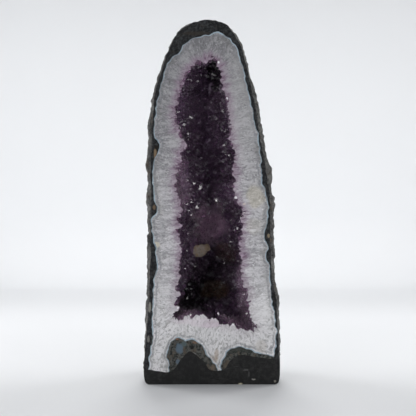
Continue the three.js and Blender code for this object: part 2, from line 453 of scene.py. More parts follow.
def open_edges(work: bmesh.types.BMesh) -> list[bmesh.types.BMEdge]:
    """The edges of an open mesh that belong to one face only."""
    return [edge for edge in work.edges if len(edge.link_faces) == 1]


def saw(work: bmesh.types.BMesh, y: float) -> list[bmesh.types.BMFace]:
    """Saws away all that lies in front of a plane square to Y, and closes the cuts.

    Args:
        work: the open mesh.
        y: where the plane is, in metres.
    Returns:
        The faces that close the cuts.
    """
    bmesh.ops.bisect_plane(
        work, geom=work.verts[:] + work.edges[:] + work.faces[:], dist=SAME_PLACE,
        plane_co=(0, y, 0), plane_no=(0, -1, 0), clear_outer=True,
    )
    return bmesh.ops.holes_fill(work, edges=open_edges(work), sides=0)["faces"]


def sawn(target: Object) -> None:
    """Saws a closed solid that reaches in front of the face off flat."""
    with opened(target.data) as work:
        saw(work, FACE_Y)
        bmesh.ops.recalc_face_normals(work, faces=work.faces[:])
    triangulated(target)


def staggered(flat: Array, spacing: float) -> Array:
    """Evenly spaced places in staggered rows.

    Args:
        flat: places as rows of (x, z), in metres, whose box is filled.
        spacing: distance between neighbours, in metres.
    Returns:
        Rows of (x, z), in metres.
    """
    low, high = flat.min(0), flat.max(0)
    row_height = 0.866 * spacing
    rows = []
    for j, z in enumerate(np.arange(low[1], high[1], row_height)):
        x = np.arange(low[0] + (j % 2) * spacing / 2, high[0], spacing)
        rows.append(np.column_stack((x, np.full(len(x), z))))
    return np.vstack(rows)


def refaced(target: Object, spacing: float) -> None:
    """Gives a solid's flat front evenly spaced vertices, so that patterns can follow them.

    Args:
        target: the object.
        spacing: distance between the new vertices, in metres.
    """
    with opened(target.data) as work:
        on_face = {vert for vert in work.verts if abs(vert.co.y - FACE_Y) < ON_FACE}
        front = [face for face in work.faces if all(vert in on_face for vert in face.verts)]
        bmesh.ops.delete(work, geom=front, context="FACES_ONLY")
        loose = [edge for edge in work.edges if not edge.link_faces]
        bmesh.ops.delete(work, geom=loose, context="EDGES")
        rim = open_edges(work)
        work.verts.index_update()
        verts = sorted({vert for edge in rim for vert in edge.verts}, key=lambda vert: vert.index)
        index = {vert: i for i, vert in enumerate(verts)}
        flat = np.array([(vert.co.x, vert.co.z) for vert in verts])
        edges = np.array([[index[vert] for vert in edge.verts] for edge in rim])
        starts, ends = flat[edges[:, 0]], flat[edges[:, 1]]
        grid = staggered(flat, spacing)
        grid = grid[inside_loops(starts, ends, grid)]
        tree = search_tree(flat)
        clear = [tree.find((x, z, 0))[2] > 0.5 * spacing for x, z in grid]
        places = [Vector(place) for place in np.vstack((flat, grid[clear]))]
        made = delaunay_2d_cdt(places, edges.tolist(), [], 0, 1e-9)
        new_places, new_faces, sources = np.array([tuple(place) for place in made[0]]), made[2], made[3]
        centres = np.array([new_places[list(face)].mean(0) for face in new_faces])
        corners = []
        for (x, z), source in zip(new_places, sources):
            known = [i for i in source if i < len(verts)]
            corners.append(verts[known[0]] if known else work.verts.new((x, FACE_Y, z)))
        for face, inside in zip(new_faces, inside_loops(starts, ends, centres)):
            if inside:
                work.faces.new([corners[i] for i in face])
        bmesh.ops.recalc_face_normals(work, faces=work.faces[:])


def dressed(target: Object, cut: Material, rest: Material, bend: float) -> None:
    """Gives a piece one finish where it is sawn and another elsewhere.

    Args:
        target: the object.
        cut: the finish of its flat front.
        rest: the finish of all the rest.
        bend: angle in degrees above which an edge stays sharp.
    """
    mesh = target.data
    mesh.materials.clear()
    mesh.materials.append(cut)
    mesh.materials.append(rest)
    flat = np.abs(corners_of(mesh)[:, 1] - FACE_Y) < ON_FACE
    for face in mesh.polygons:
        face.material_index = 0 if all(flat[v] for v in face.vertices) else 1
    mesh.shade_smooth()
    mesh.set_sharp_from_angle(angle=math.radians(bend))


@dataclass(frozen=True)
class Spine:
    """The upright line behind the sawn face at which a shell closes.

    Args:
        low: its lower end as (x, z), in millimetres.
        high: its upper end.
        depth: how far behind the face its lower and its upper end are, in millimetres.
        middling: a middling depth of the shell, in metres.
    """

    low: Pair
    high: Pair
    depth: Pair
    middling: float

    def shares(self, points: Array) -> Array:
        """How far up the spine points are, from 0 to 1.

        Args:
            points: rows of (x, z), in metres.
        Returns:
            One share for each point.
        """
        low, high = np.array(self.low) * MM, np.array(self.high) * MM
        run = high - low
        return np.clip((points - low) @ run / (run @ run), 0, 1)

    def at(self, shares: Array) -> tuple[Array, Array]:
        """Places on the spine.

        Args:
            shares: how far up each of them is, from 0 to 1.
        Returns:
            The places as rows of (x, z) and how far behind the face each is, in metres.
        """
        low, high = np.array(self.low) * MM, np.array(self.high) * MM
        below, above = self.depth
        return low + (high - low) * shares[:, None], (below + (above - below) * shares) * MM


@dataclass
class Shell:
    """A half shell behind an outline of the sawn face, closing on an upright spine at its back.

    Args:
        outline: where it meets the sawn face.
        spine: where it closes.
        fullness: powers of the rounded plan: higher is boxier. The first shapes the sides.
        swell: share by which it widens just behind the face.
        swell_depth: share of the depth at which it is widest.
        swell_at_floor: share of the swelling that is left at the floor.
        swell_height: height at which the swelling is full, in metres, less that share.
        shoulder: how far it rounds outwards straight behind the face, in metres, at each point.
        shoulder_depth: depth over which it does so, in metres.
        shoulder_rings: shares of the depth at which a shoulder gets rings of its own.
        forward: how far it reaches in front of the face, in metres.
        seam_step: distance between vertices on the spine, in metres.
    """

    outline: Outline
    spine: Spine
    fullness: Pair = (3.0, 2.0)
    swell: float = 0.045
    swell_depth: float = 0.15
    swell_at_floor: float = 0.3
    swell_height: float = 0.2
    shoulder: Array | float = 0.0
    shoulder_depth: float = 2.5 * MM
    shoulder_rings: tuple[float, ...] = (0.004, 0.009, 0.016, 0.025)
    forward: float = 8 * MM
    seam_step: float = 3.2 * MM

    def ring(self, share: float) -> Array:
        """The outline carried back by a share of the depth, negative for in front of the face.

        Args:
            share: share of the depth.
        Returns:
            Rows of (x, y, z), in metres.
        """
        points = self.outline.points
        spine, depth = self.spine.at(self.spine.shares(points))
        behind = max(share, 0)
        sides, back = self.fullness
        width = (1 - behind**sides) ** (1 / back)
        reach = behind / self.swell_depth
        rise = np.clip(self.swell_at_floor + points[:, 1] / self.swell_height, 0, 1)
        wider = 1 + self.swell * rise * reach * math.exp(1 - reach)
        flat = spine + (points - spine) * np.column_stack((width * wider, np.full(len(points), width)))
        bulge = self.shoulder * (1 - np.exp(-depth * behind / self.shoulder_depth)) * width
        flat += self.outline.normals() * bulge[:, None]
        return np.column_stack((flat[:, 0], FACE_Y + depth * share, flat[:, 1]))

    def seam(self) -> Array:
        """The spine, with a place for each of the outline's points, evenly spaced so that both sides meet.

        Returns:
            Rows of (x, y, z), in metres.
        """
        points = self.outline.points
        shares = self.spine.shares(points)
        top = int(np.argmax(points[:, 1]))
        shares = np.concatenate((np.maximum.accumulate(shares[:top]), np.minimum.accumulate(shares[top:])))
        steps = round(math.dist(self.spine.low, self.spine.high) * MM / self.seam_step)
        places, depth = self.spine.at(np.round(shares * steps) / steps)
        return np.column_stack((places[:, 0], FACE_Y + depth, places[:, 1]))

    def wall(self, rings: int) -> tuple[Array, list[tuple[int, ...]], int]:
        """The shell's wall, without its front.

        Args:
            rings: how many rings it has behind the face, closer together where its back turns in.
        Returns:
            Its vertices, which are not yet welded along the spine, its faces, which point outwards, and the
            number of vertices in a ring.
        """
        behind = [math.sin(math.pi / 2 * k / rings) for k in range(rings)]
        if np.any(self.shoulder):
            behind = sorted([*behind, *self.shoulder_rings])
        shares = [-self.forward / self.spine.middling, *behind]
        verts = np.vstack([self.ring(share) for share in shares] + [self.seam()])
        count = len(self.outline.points)
        faces = []
        for first in range(0, len(shares) * count, count):
            for i in range(count):
                a, b = first + i, first + (i + 1) % count
                faces.append((a, a + count, b + count, b))
        return verts, faces, count

    def solid(self, name: str, rings: int) -> Object:
        """The shell as a closed solid.

        Args:
            name: the object's name.
            rings: how many rings it has behind the face.
        Returns:
            The object.
        """
        verts, faces, count = self.wall(rings)
        return welded(object_of(name, verts, [*faces, range(count)]))


def block(name: str, outline: Outline, depth: float, forward: float = 15 * MM) -> Object:
    """The space inside an outline, from in front of the face to behind it.

    Args:
        name: the object's name.
        outline: its shape, seen from the front.
        depth: how far it reaches behind the face, in metres.
        forward: how far it reaches in front of the face, in metres.
    Returns:
        The object.
    """
    count = len(outline.points)
    x, z = outline.points.T
    ends = (FACE_Y - forward, FACE_Y + depth)
    verts = np.vstack([np.column_stack((x, np.full(count, y), z)) for y in ends])
    faces = [(i, i + count, (i + 1) % count + count, (i + 1) % count) for i in range(count)]
    return triangulated(object_of(name, verts, [*faces, range(count), range(2 * count - 1, count - 1, -1)]))


# ----------------------------------------
# Finishes.


class Patch(NamedTuple):
    """A soft patch of another colour.

    Args:
        x: x of its middle, in millimetres.
        z: z of its middle.
        wide: its half width, in millimetres.
        high: its half height.
        colour: its colour.
        share: how strong it is in its middle.
    """

    x: float
    z: float
    wide: float
    high: float
    colour: Colour
    share: float


class NodeTree:
    """A node tree that is put together by plain calls."""

    def __init__(self, tree: bpy.types.NodeTree) -> None:
        """Takes the tree that nodes are added to."""
        self.tree = tree

    def node(self, kind: str, inputs: dict[str | int, object], **settings: object) -> bpy.types.Node:
        """Adds a node.

        Args:
            kind: its type.
            inputs: what goes into its sockets: values, or other nodes' outputs.
            settings: its properties.
        Returns:
            The node.
        """
        made = self.tree.nodes.new(kind)
        for name, value in settings.items():
            setattr(made, name, value)
        for name, value in inputs.items():
            if isinstance(value, Socket):
                self.tree.links.new(value, made.inputs[name])
            else:
                made.inputs[name].default_value = value
        return made

    def math(self, how: str, a: Input, b: Input = 0.0) -> Socket:
        """One or two numbers, worked on in the named way."""
        return self.node("ShaderNodeMath", {0: a, 1: b}, operation=how).outputs[0]

    def product(self, first: Input, *others: Input) -> Input:
        """Numbers multiplied together."""
        for other in others:
            first = self.math("MULTIPLY", first, other)
        return first

    def total(self, first: Input, *others: Input) -> Input:
        """Numbers added up."""
        for other in others:
            first = self.math("ADD", first, other)
        return first


def rgba(colour: Input) -> Input:
    """A plain colour with its alpha, and a socket as it is."""
    return (*colour, 1) if isinstance(colour, tuple) else colour


class Bench(NodeTree):
    """Builds one material: a ground colour, coats of other colours over it, and the shader."""

    def __init__(self, name: str, ground: Colour) -> None:
        """Starts a material.

        Args:
            name: its name.
            ground: its colour under all the coats.
        """
        self.material = bpy.data.materials.new(name)
        self.material.use_nodes = True
        super().__init__(self.material.node_tree)
        self.tree.nodes.clear()
        self.place = self.node("ShaderNodeTexCoord", {}).outputs["Object"]
        self.colour = ground

    def axis(self, which: str) -> Socket:
        """One of the object coordinates X, Y and Z, in metres."""
        return self.node("ShaderNodeSeparateXYZ", {0: self.place}).outputs[which]

    def attribute(self, name: str, output: str = "Fac") -> Socket:
        """One of the mesh's own attributes, as a number or a vector."""
        return self.node("ShaderNodeAttribute", {}, attribute_name=name).outputs[output]

    def vector(self, how: str, a: Input, b: Input) -> Socket:
        """Two vectors, worked on in the named way."""
        return self.node("ShaderNodeVectorMath", {0: a, 1: b}, operation=how).outputs[0]

    def noise(self, scale: float, detail: float = 3, rough: float = 0.55, at: Input | None = None) -> Socket:
        """Cloudy noise.

        Args:
            scale: how fine it is, per metre.
            detail: how many finer layers it has.
            rough: how strong those are.
            at: coordinates, where they aren't the object's own.
        Returns:
            A number around 0.5.
        """
        vector = self.place if at is None else at
        inputs = {"Vector": vector, "Scale": scale, "Detail": detail, "Roughness": rough}
        return self.node("ShaderNodeTexNoise", inputs).outputs["Fac"]

    def fibres(self, grain: Input, across: float, along: float, detail: float = 3, rough: float = 0.55,
               ) -> Socket:
        """Noise drawn out along a grain.

        Args:
            grain: coordinates, of which the third runs along it.
            across: how fine the noise is across the grain, per metre.
            along: how fine it is along the grain.
            detail: how many finer layers it has.
            rough: how strong those are.
        Returns:
            A number around 0.5.
        """
        return self.noise(1, detail, rough, self.vector("MULTIPLY", grain, (across, across, along)))

    def warped(self, vector: Input, scale: float, amount: float) -> Socket:
        """Shifts coordinates to and fro.

        Args:
            vector: the coordinates.
            scale: how fine the shifts are, per metre.
            amount: the largest of them, in metres.
        Returns:
            The shifted coordinates.
        """
        inputs = {"Vector": self.place, "Scale": scale, "Detail": 2}
        cloud = self.node("ShaderNodeTexNoise", inputs).outputs["Color"]
        shift = self.vector("SUBTRACT", cloud, (0.5, 0.5, 0.5))
        return self.vector("ADD", vector, self.vector("MULTIPLY", shift, (2 * amount,) * 3))

    def cells(self, scale: float) -> Socket:
        """The distance to scattered points, in cells of which there are scale to a metre."""
        return self.node("ShaderNodeTexVoronoi", {"Vector": self.place, "Scale": scale}).outputs["Distance"]

    def step(self, value: Input, low: float, high: float, to: Pair = (0, 1)) -> Socket:
        """A smooth step between two numbers.

        Args:
            value: what it follows.
            low: where it starts.
            high: where it ends.
            to: the numbers before and after it.
        Returns:
            The result.
        """
        inputs = {"Value": value, "From Min": low, "From Max": high, "To Min": to[0], "To Max": to[1]}
        return self.node("ShaderNodeMapRange", inputs, interpolation_type="SMOOTHSTEP").outputs["Result"]

    def sway(self, value: Input, amount: float, middle: float = 0.5) -> Socket:
        """Noise around a middle, turned into an amount either way."""
        return self.math("MULTIPLY", self.math("SUBTRACT", value, middle), amount)

    def blend(self, *parts: tuple[Input, float]) -> Input:
        """The sum of numbers, each given with how much of it there is."""
        return self.total(*(self.product(value, share) for value, share in parts))

    def mix(self, share: Input, below: Input, above: Input, how: str = "MIX") -> Socket:
        """Mixes two colours.

        Args:
            share: how much of the second.
            below: the first colour.
            above: the second colour.
            how: how the second is laid on the first.
        Returns:
            The mixed colour.
        """
        inputs = {0: share, 6: rgba(below), 7: rgba(above)}
        return self.node("ShaderNodeMix", inputs, data_type="RGBA", blend_type=how).outputs[2]

    def coat(self, share: Input, colour: Input, how: str = "MIX") -> None:
        """Lays a coat of another colour over the material, as strong as share says."""
        self.colour = self.mix(share, self.colour, colour, how)

    def patches(self, patches: Sequence[Patch], stray: Input, within: Input | None = None, y: float = FACE_Y,
                deep: float = 1.0) -> None:
        """Lays on soft patches of other colours.

        Args:
            patches: the patches.
            stray: a number that is added to the distance from a patch's middle, for an uneven edge.
            within: a share that limits all of them.
            y: where their middles are, in metres.
            deep: how far they reach from there either way, in metres.
        """
        for patch in patches:
            away = self.vector("SUBTRACT", self.place, (patch.x * MM, y, patch.z * MM))
            scale = (1 / (patch.wide * MM), 1 / deep, 1 / (patch.high * MM))
            inputs = {0: self.vector("MULTIPLY", away, scale)}
            length = self.node("ShaderNodeVectorMath", inputs, operation="LENGTH").outputs["Value"]
            spot = self.step(self.total(length, stray), 1.0, 0.55)
            limits = (patch.share,) if within is None else (within, patch.share)
            self.coat(self.product(spot, *limits), patch.colour)

    def bump(self, height: Input, depth: float, strength: float = 1.0) -> Socket:
        """Fine relief.

        Args:
            height: a number from 0 to 1.
            depth: its height, in metres.
            strength: how much of it shows.
        Returns:
            The surface's new normal.
        """
        inputs = {"Height": height, "Distance": depth, "Strength": strength}
        return self.node("ShaderNodeBump", inputs).outputs["Normal"]

    def finish(self, volume: bpy.types.Node | None = None, **sockets: Input) -> Material:
        """Puts the shader on.

        Args:
            volume: what fills the piece, if it is see-through.
            sockets: what goes into the shader, with spaces in the names written as underscores.
        Returns:
            The finished material.
        """
        inputs = {name.replace("_", " "): value for name, value in sockets.items()}
        shader = self.node("ShaderNodeBsdfPrincipled", {"Base Color": self.colour, **inputs})
        ends = {"Surface": shader.outputs["BSDF"]}
        if volume is not None:
            ends["Volume"] = volume.outputs[0]
        self.node("ShaderNodeOutputMaterial", ends)
        return self.material


@dataclass(frozen=True)
class SawnQuartz:
    """Milky quartz sawn and polished across its fibres, turning violet near the hollow.

    Args:
        smoky: its greyest colour.
        milky: its palest colour.
        beige: its stained colour near the rock.
        chalk_and_light: what pales it towards the foot: partly paler quartz, partly painted light where more
            light falls low down.
        fleck: its dark flecks.
        strand: its grey strands, towards the foot.
        glint: painted highlights: bright threads along the fibres that stand for their glints.
        top_grey_and_shade: how much greyer it is at the top: partly greyer quartz, partly painted shade where
            less light falls.
        rock_line: the dark line beside the rock.
        cream: its colour where it is stained by lime.
        rust: its colour where it is stained by iron.
        facet_glint: painted highlights: white spots where crystal facets on the rim catch the light.
        fringe: violet bands along the hollow, each as the distances from the hollow's edge at which it starts
            and is full, in metres, how strong it is between the streaks and in them, and its colour.
        stains: patches of other colours.
    """

    smoky: Colour = (0.33, 0.325, 0.345)
    milky: Colour = (0.66, 0.645, 0.67)
    beige: Colour = (0.29, 0.285, 0.265)
    chalk_and_light: Colour = (0.93, 0.92, 0.93)
    fleck: Colour = (0.17, 0.165, 0.175)
    strand: Colour = (0.26, 0.255, 0.25)
    glint: Colour = (0.93, 0.93, 0.95)
    top_grey_and_shade: Colour = (0.57, 0.575, 0.58)
    rock_line: Colour = (0.19, 0.20, 0.22)
    cream: Colour = (0.62, 0.56, 0.40)
    rust: Colour = (0.33, 0.22, 0.13)
    facet_glint: Colour = (0.92, 0.90, 0.93)
    fringe: tuple[tuple[float, float, float, float, Colour], ...] = (
        (0.0140, 0.0030, 0.50, 0.25, (0.41, 0.29, 0.40)),
        (0.0085, 0.0010, 0.15, 0.75, (0.135, 0.050, 0.115)),
        (0.0000, -0.0030, 0.75, 0.20, (0.54, 0.42, 0.54)),
    )
    stains: tuple[Patch, ...] = (
        Patch(54, 229, 15, 21, cream, 0.36),
        Patch(52, 196, 13, 12, cream, 0.15),
        Patch(-68, 172, 5, 5, (0.70, 0.64, 0.50), 0.7),
        Patch(5.8, 36, 4.2, 11, rust, 0.5),
        Patch(1, 30, 8, 8, rust, 0.25),
        Patch(60, 48, 8, 9, (0.50, 0.44, 0.36), 0.25),
        Patch(0, 73.5, 17, 5, (0.48, 0.35, 0.46), 0.3),
        Patch(-6, 385, 40, 18, (0.34, 0.26, 0.34), 0.3),
        Patch(62, 92, 18, 18, (0.88, 0.87, 0.88), 0.35),
        Patch(-5, 76.5, 55, 8, (0.74, 0.62, 0.71), 0.35),
        Patch(36, 345, 22, 85, (0.72, 0.71, 0.72), 0.2),
        # Painted highlights: white spots where rim crystal facets catch the light.
        Patch(-41.3, 94.5, 3, 2.6, facet_glint, 0.95),
        Patch(7.8, 397.5, 2, 2.2, facet_glint, 0.9),
        Patch(18.5, 353, 1.4, 2.2, facet_glint, 0.85),
        Patch(29.2, 230.5, 2.2, 2.2, facet_glint, 0.9),
        Patch(51, 190, 5, 2.2, (0.86, 0.85, 0.86), 0.6),
        Patch(40, 222.5, 3, 2.2, (0.80, 0.70, 0.60), 0.5),
        # Painted highlight: a white spot where a rim crystal facet catches the light.
        Patch(26.2, 74.5, 2.8, 3, facet_glint, 0.95),
    )

    def material(self) -> Material:
        """Builds the material, which reads the attributes that FacePattern writes.

        Returns:
            The material.
        """
        bench = Bench("sawn_quartz", self.smoky)
        rock, hollow = bench.attribute("from_rock"), bench.attribute("to_hollow")
        straight = bench.attribute("grain", "Vector")
        grain = bench.warped(bench.warped(straight, 170, 3 * MM), 55, 4.5 * MM)
        fine, broad = bench.fibres(grain, 520, 95, 4, 0.65), bench.fibres(straight, 180, 30)
        cloud, grit = bench.noise(45, 4), bench.noise(380, 4, 0.65)
        height = bench.axis("Z")

        shade = bench.blend((fine, 0.40), (broad, 0.28), (cloud, 0.16), (grit, 0.16))
        bench.coat(bench.step(shade, 0.42, 0.57), self.milky)
        beside_rock = bench.step(rock, 9 * MM, 1 * MM)
        bench.coat(bench.product(beside_rock, bench.step(cloud, 0.40, 0.60, (0, 0.55))), self.beige)
        # Partly painted light: paler towards the foot, where more light falls.
        bench.coat(bench.step(height, 160 * MM, 70 * MM, (0, 0.56)), self.chalk_and_light)
        fleck = bench.fibres(grain, 620, 240, 2, 0.5)
        bench.coat(bench.step(fleck, 0.56, 0.67, (0, 0.6)), self.fleck)
        strand = bench.step(bench.fibres(grain, 360, 105, 3, 0.6), 0.49, 0.67, (0, 0.68))
        bench.coat(bench.product(strand, bench.step(height, 160 * MM, 60 * MM, (0.1, 1))), self.strand)
        # Painted highlights: bright threads along the grain.
        bench.coat(bench.step(bench.fibres(grain, 850, 300, 1, 0.5), 0.62, 0.72, (0, 0.7)), self.glint)
        # Partly painted shade: greyer towards the top, where less light falls.
        bench.coat(bench.step(height, 170 * MM, 400 * MM), self.top_grey_and_shade, "MULTIPLY")

        ragged = bench.total(rock, bench.sway(cloud, 6 * MM), bench.sway(grit, 3 * MM))
        line = bench.product(bench.step(ragged, 0.8 * MM, 2.2 * MM), bench.step(ragged, 4.6 * MM, 2.8 * MM))
        bench.coat(bench.product(line, bench.step(broad, 0.35, 0.6, (0.15, 0.65))), self.rock_line)

        near = bench.total(hollow, bench.sway(bench.blend((fine, 0.5), (broad, 0.7)), 26 * MM, 0.6))
        strength = bench.step(height, 78 * MM, 150 * MM, (0.2, 1))
        streak = bench.step(bench.fibres(grain, 430, 120, 3, 0.6), 0.42, 0.60)
        for start, full, plain, streaked, colour in self.fringe:
            uneven = bench.total(bench.product(streak, streaked - plain), plain)
            bench.coat(bench.product(bench.step(near, start, full), strength, uneven), colour)
        bench.patches(self.stains, bench.sway(cloud, 1.6))
        relief = bench.blend((fine, 0.6), (fleck, -0.4), (grit, 0.3))
        return bench.finish(
            Roughness=bench.step(fine, 0.3, 0.7, (0.30, 0.5)), Normal=bench.bump(relief, 0.35 * MM, 0.5),
            IOR=1.54, Specular_IOR_Level=0.5,
        )


@dataclass(frozen=True)
class BandedAgate:
    """Pale blue chalcedony with faint bands along its edges, and a dark line beside the rock."""

    deep: Colour = (0.17, 0.23, 0.29)
    pale: Colour = (0.42, 0.52, 0.60)
    smoke: Colour = (0.17, 0.19, 0.20)
    rock_line: Colour = (0.08, 0.09, 0.10)

    def material(self) -> Material:
        """Builds the material, which reads the attributes that FacePattern writes.

        Returns:
            The material.
        """
        bench = Bench("banded_agate", self.deep)
        rock = bench.attribute("from_rock")
        fine = bench.noise(500)
        rings = bench.blend((rock, 900), (fine, 1.2))
        band = bench.noise(1, 1, at=bench.node("ShaderNodeCombineXYZ", {0: rings}).outputs[0])
        bench.coat(bench.step(bench.blend((band, 0.5), (bench.noise(60), 0.5)), 0.36, 0.6), self.pale)
        bench.coat(bench.step(bench.noise(110), 0.50, 0.66, (0, 0.7)), self.smoke)
        bench.coat(bench.step(rock, 0.5 * MM, 0, (0, 0.8)), self.rock_line)
        return bench.finish(Roughness=0.28, IOR=1.54, Normal=bench.bump(fine, 0.1 * MM, 0.4))


@dataclass(frozen=True)
class SawnBasalt:
    """Dark green-grey basalt sawn smooth, with the weathered matrix of its lower pockets.

    Args:
        dark: its darkest colour.
        light: its lightest colour.
        speck: its pale specks.
        brown: its brown blotches.
        moss: the dark grains of the pockets' matrix.
        ash: the pale grains of the pockets' matrix.
        clay: clay in the pockets' matrix.
        blue: agate in the pockets.
        spots: patches of agate, clay and lime, and a dark spot painted as the shade in a pit.
    """

    dark: Colour = (0.0058, 0.0064, 0.0072)
    light: Colour = (0.043, 0.045, 0.049)
    speck: Colour = (0.15, 0.15, 0.14)
    brown: Colour = (0.060, 0.048, 0.036)
    moss: Colour = (0.012, 0.015, 0.015)
    ash: Colour = (0.105, 0.105, 0.096)
    clay: Colour = (0.098, 0.080, 0.062)
    blue: Colour = (0.105, 0.150, 0.195)
    spots: tuple[Patch, ...] = (
        Patch(-40.5, 44, 6.2, 8, blue, 0.95),
        Patch(-41.8, 28, 3.4, 4.5, blue, 0.85),
        Patch(-34.5, 50, 4, 4, (0.09, 0.13, 0.14), 0.8),
        Patch(-43, 56, 2.4, 1.6, (0.26, 0.13, 0.08), 0.8),
        Patch(-20.5, 51.8, 3.5, 1.6, (0.22, 0.13, 0.09), 0.7),
        Patch(0, 20, 4, 5, (0.20, 0.15, 0.11), 0.5),
        Patch(18, 23, 5, 5, (0.11, 0.085, 0.06), 0.5),
        Patch(-24.5, 38, 6, 3, (0.22, 0.21, 0.20), 0.7),
        Patch(-24.7, 45, 3.4, 3, (0.006, 0.006, 0.006), 0.97),
        Patch(-70, 283, 2.4, 9.5, (0.26, 0.18, 0.11), 0.8),
        # Painted shade: a dark spot for a pit in the sawn face.
        Patch(-68.5, 292.5, 3.2, 3, (0.012, 0.008, 0.005), 0.9),
        Patch(-71.5, 219, 2.8, 5, (0.20, 0.13, 0.08), 0.8),
        Patch(69.7, 183, 2.2, 3.2, (0.30, 0.24, 0.16), 0.8),
        Patch(-77, 95, 2.4, 8.5, (0.40, 0.39, 0.35), 0.6),
        Patch(-78.5, 56, 2, 5, (0.34, 0.33, 0.30), 0.5),
        Patch(35, 43, 30, 6, (0.030, 0.036, 0.032), 0.6),
        Patch(-20, 433, 26, 3, (0.040, 0.032, 0.025), 0.6),
    )

    def material(self) -> Material:
        """Builds the material.

        Returns:
            The material.
        """
        bench = Bench("sawn_basalt", self.dark)
        fine, blotch, broad = bench.noise(900, 4, 0.65), bench.noise(330, 4, 0.65), bench.noise(90, 4)
        bench.coat(bench.step(bench.blend((fine, 0.3), (blotch, 0.5), (broad, 0.2)), 0.43, 0.60), self.light)
        bench.coat(bench.step(bench.cells(420), 0.17, 0.08, (0, 0.5)), self.speck)
        bench.coat(bench.step(bench.noise(130, 4, 0.6), 0.57, 0.68, (0, 0.28)), self.brown)
        matrix = bench.step(bench.blend((fine, 0.4), (blotch, 0.6)), 0.42, 0.58)
        pocket = bench.mix(matrix, self.moss, self.ash)
        pocket = bench.mix(bench.step(bench.noise(160), 0.5, 0.62, (0, 0.8)), pocket, self.clay)
        below = bench.step(bench.axis("Z"), 62 * MM, 56 * MM)
        between = bench.step(bench.math("ABSOLUTE", bench.axis("X")), 76 * MM, 72 * MM)
        bench.coat(bench.product(below, between), pocket)
        bench.patches(self.spots, bench.sway(broad, 1.5))
        return bench.finish(
            Roughness=bench.step(fine, 0.3, 0.7, (0.5, 0.75)), Normal=bench.bump(fine, 0.4 * MM, 0.6),
            Specular_IOR_Level=0.22,
        )


@dataclass(frozen=True)
class WeatheredBasalt:
    """The rough grey skin of the nodule, with brown earth in its hollows and painted shade in the pits that
    its bump dents in.
    """

    dark: Colour = (0.012, 0.012, 0.012)
    ash: Colour = (0.140, 0.138, 0.134)
    crust: Colour = (0.22, 0.215, 0.20)
    earth: Colour = (0.085, 0.062, 0.044)
    # Painted shade for the pits that the bump dents in.
    pit: Colour = (0.012, 0.011, 0.010)

    def material(self) -> Material:
        """Builds the material.

        Returns:
            The material.
        """
        bench = Bench("weathered_basalt", self.dark)
        fine, blotch, broad = bench.noise(700, 5, 0.7), bench.noise(230, 4, 0.6), bench.noise(24, 5, 0.6)
        bench.coat(bench.step(bench.blend((fine, 0.42), (blotch, 0.28), (broad, 0.30)), 0.41, 0.60), self.ash)
        crust = bench.noise(48, 5, 0.7, bench.warped(bench.place, 90, 6 * MM))
        crust = bench.total(crust, bench.product(fine, 0.2))
        bench.coat(bench.step(crust, 0.66, 0.74, (0, 0.6)), self.crust)
        bench.coat(bench.step(bench.noise(70, 4, 0.6), 0.54, 0.66, (0, 0.65)), self.earth)
        pits = bench.cells(260)
        # Painted shade: the pits that the bump dents in are darkened.
        bench.coat(bench.step(pits, 0.22, 0.1, (0, 0.8)), self.pit)
        relief = bench.blend((fine, 0.6), (blotch, 1.2), (bench.step(pits, 0.1, 0.25), 1))
        return bench.finish(Roughness=0.88, Normal=bench.bump(relief, 0.9 * MM, 0.8))


@dataclass(frozen=True)
class CastCement:
    """Smooth charcoal cement with a dusty bloom, pores, pale scuffs and chipped spots."""

    dark: Colour = (0.0085, 0.0085, 0.0090)
    dust: Colour = (0.0270, 0.0270, 0.0265)
    pore: Colour = (0.006, 0.006, 0.006)
    scuff: Colour = (0.10, 0.10, 0.10)
    chips: tuple[Patch, ...] = (
        Patch(51.2, 6.2, 3.2, 1.2, (0.32, 0.31, 0.29), 0.85),
        Patch(42, 18, 4, 1.6, (0.11, 0.11, 0.11), 0.55),
        Patch(45.5, 13, 1.4, 4, (0.09, 0.09, 0.09), 0.5),
        Patch(35, 0.8, 3, 1.4, (0.50, 0.46, 0.34), 0.9),
        Patch(77.7, 4, 1.6, 2, (0.28, 0.26, 0.22), 0.8),
    )

    def material(self) -> Material:
        """Builds the material.

        Returns:
            The material.
        """
        bench = Bench("cast_cement", self.dark)
        fine, blotch, broad = bench.noise(600, 4, 0.6), bench.noise(210, 4, 0.6), bench.noise(28, 5, 0.6)
        bench.coat(bench.step(bench.blend((fine, 0.25), (broad, 0.4), (blotch, 0.35)), 0.44, 0.62), self.dust)
        bench.coat(bench.step(bench.cells(300), 0.12, 0.05, (0, 0.7)), self.pore)
        scratch = bench.step(bench.fibres(bench.place, 90, 700, 2, 0.5), 0.63, 0.68)
        bench.coat(bench.product(scratch, bench.step(broad, 0.52, 0.62), 0.3), self.scuff)
        bench.patches(self.chips, bench.sway(fine, 2.2), deep=20 * MM)
        return bench.finish(
            Roughness=bench.step(broad, 0.35, 0.65, (0.5, 0.72)), Normal=bench.bump(fine, 0.3 * MM, 0.5),
            Specular_IOR_Level=0.25,
        )


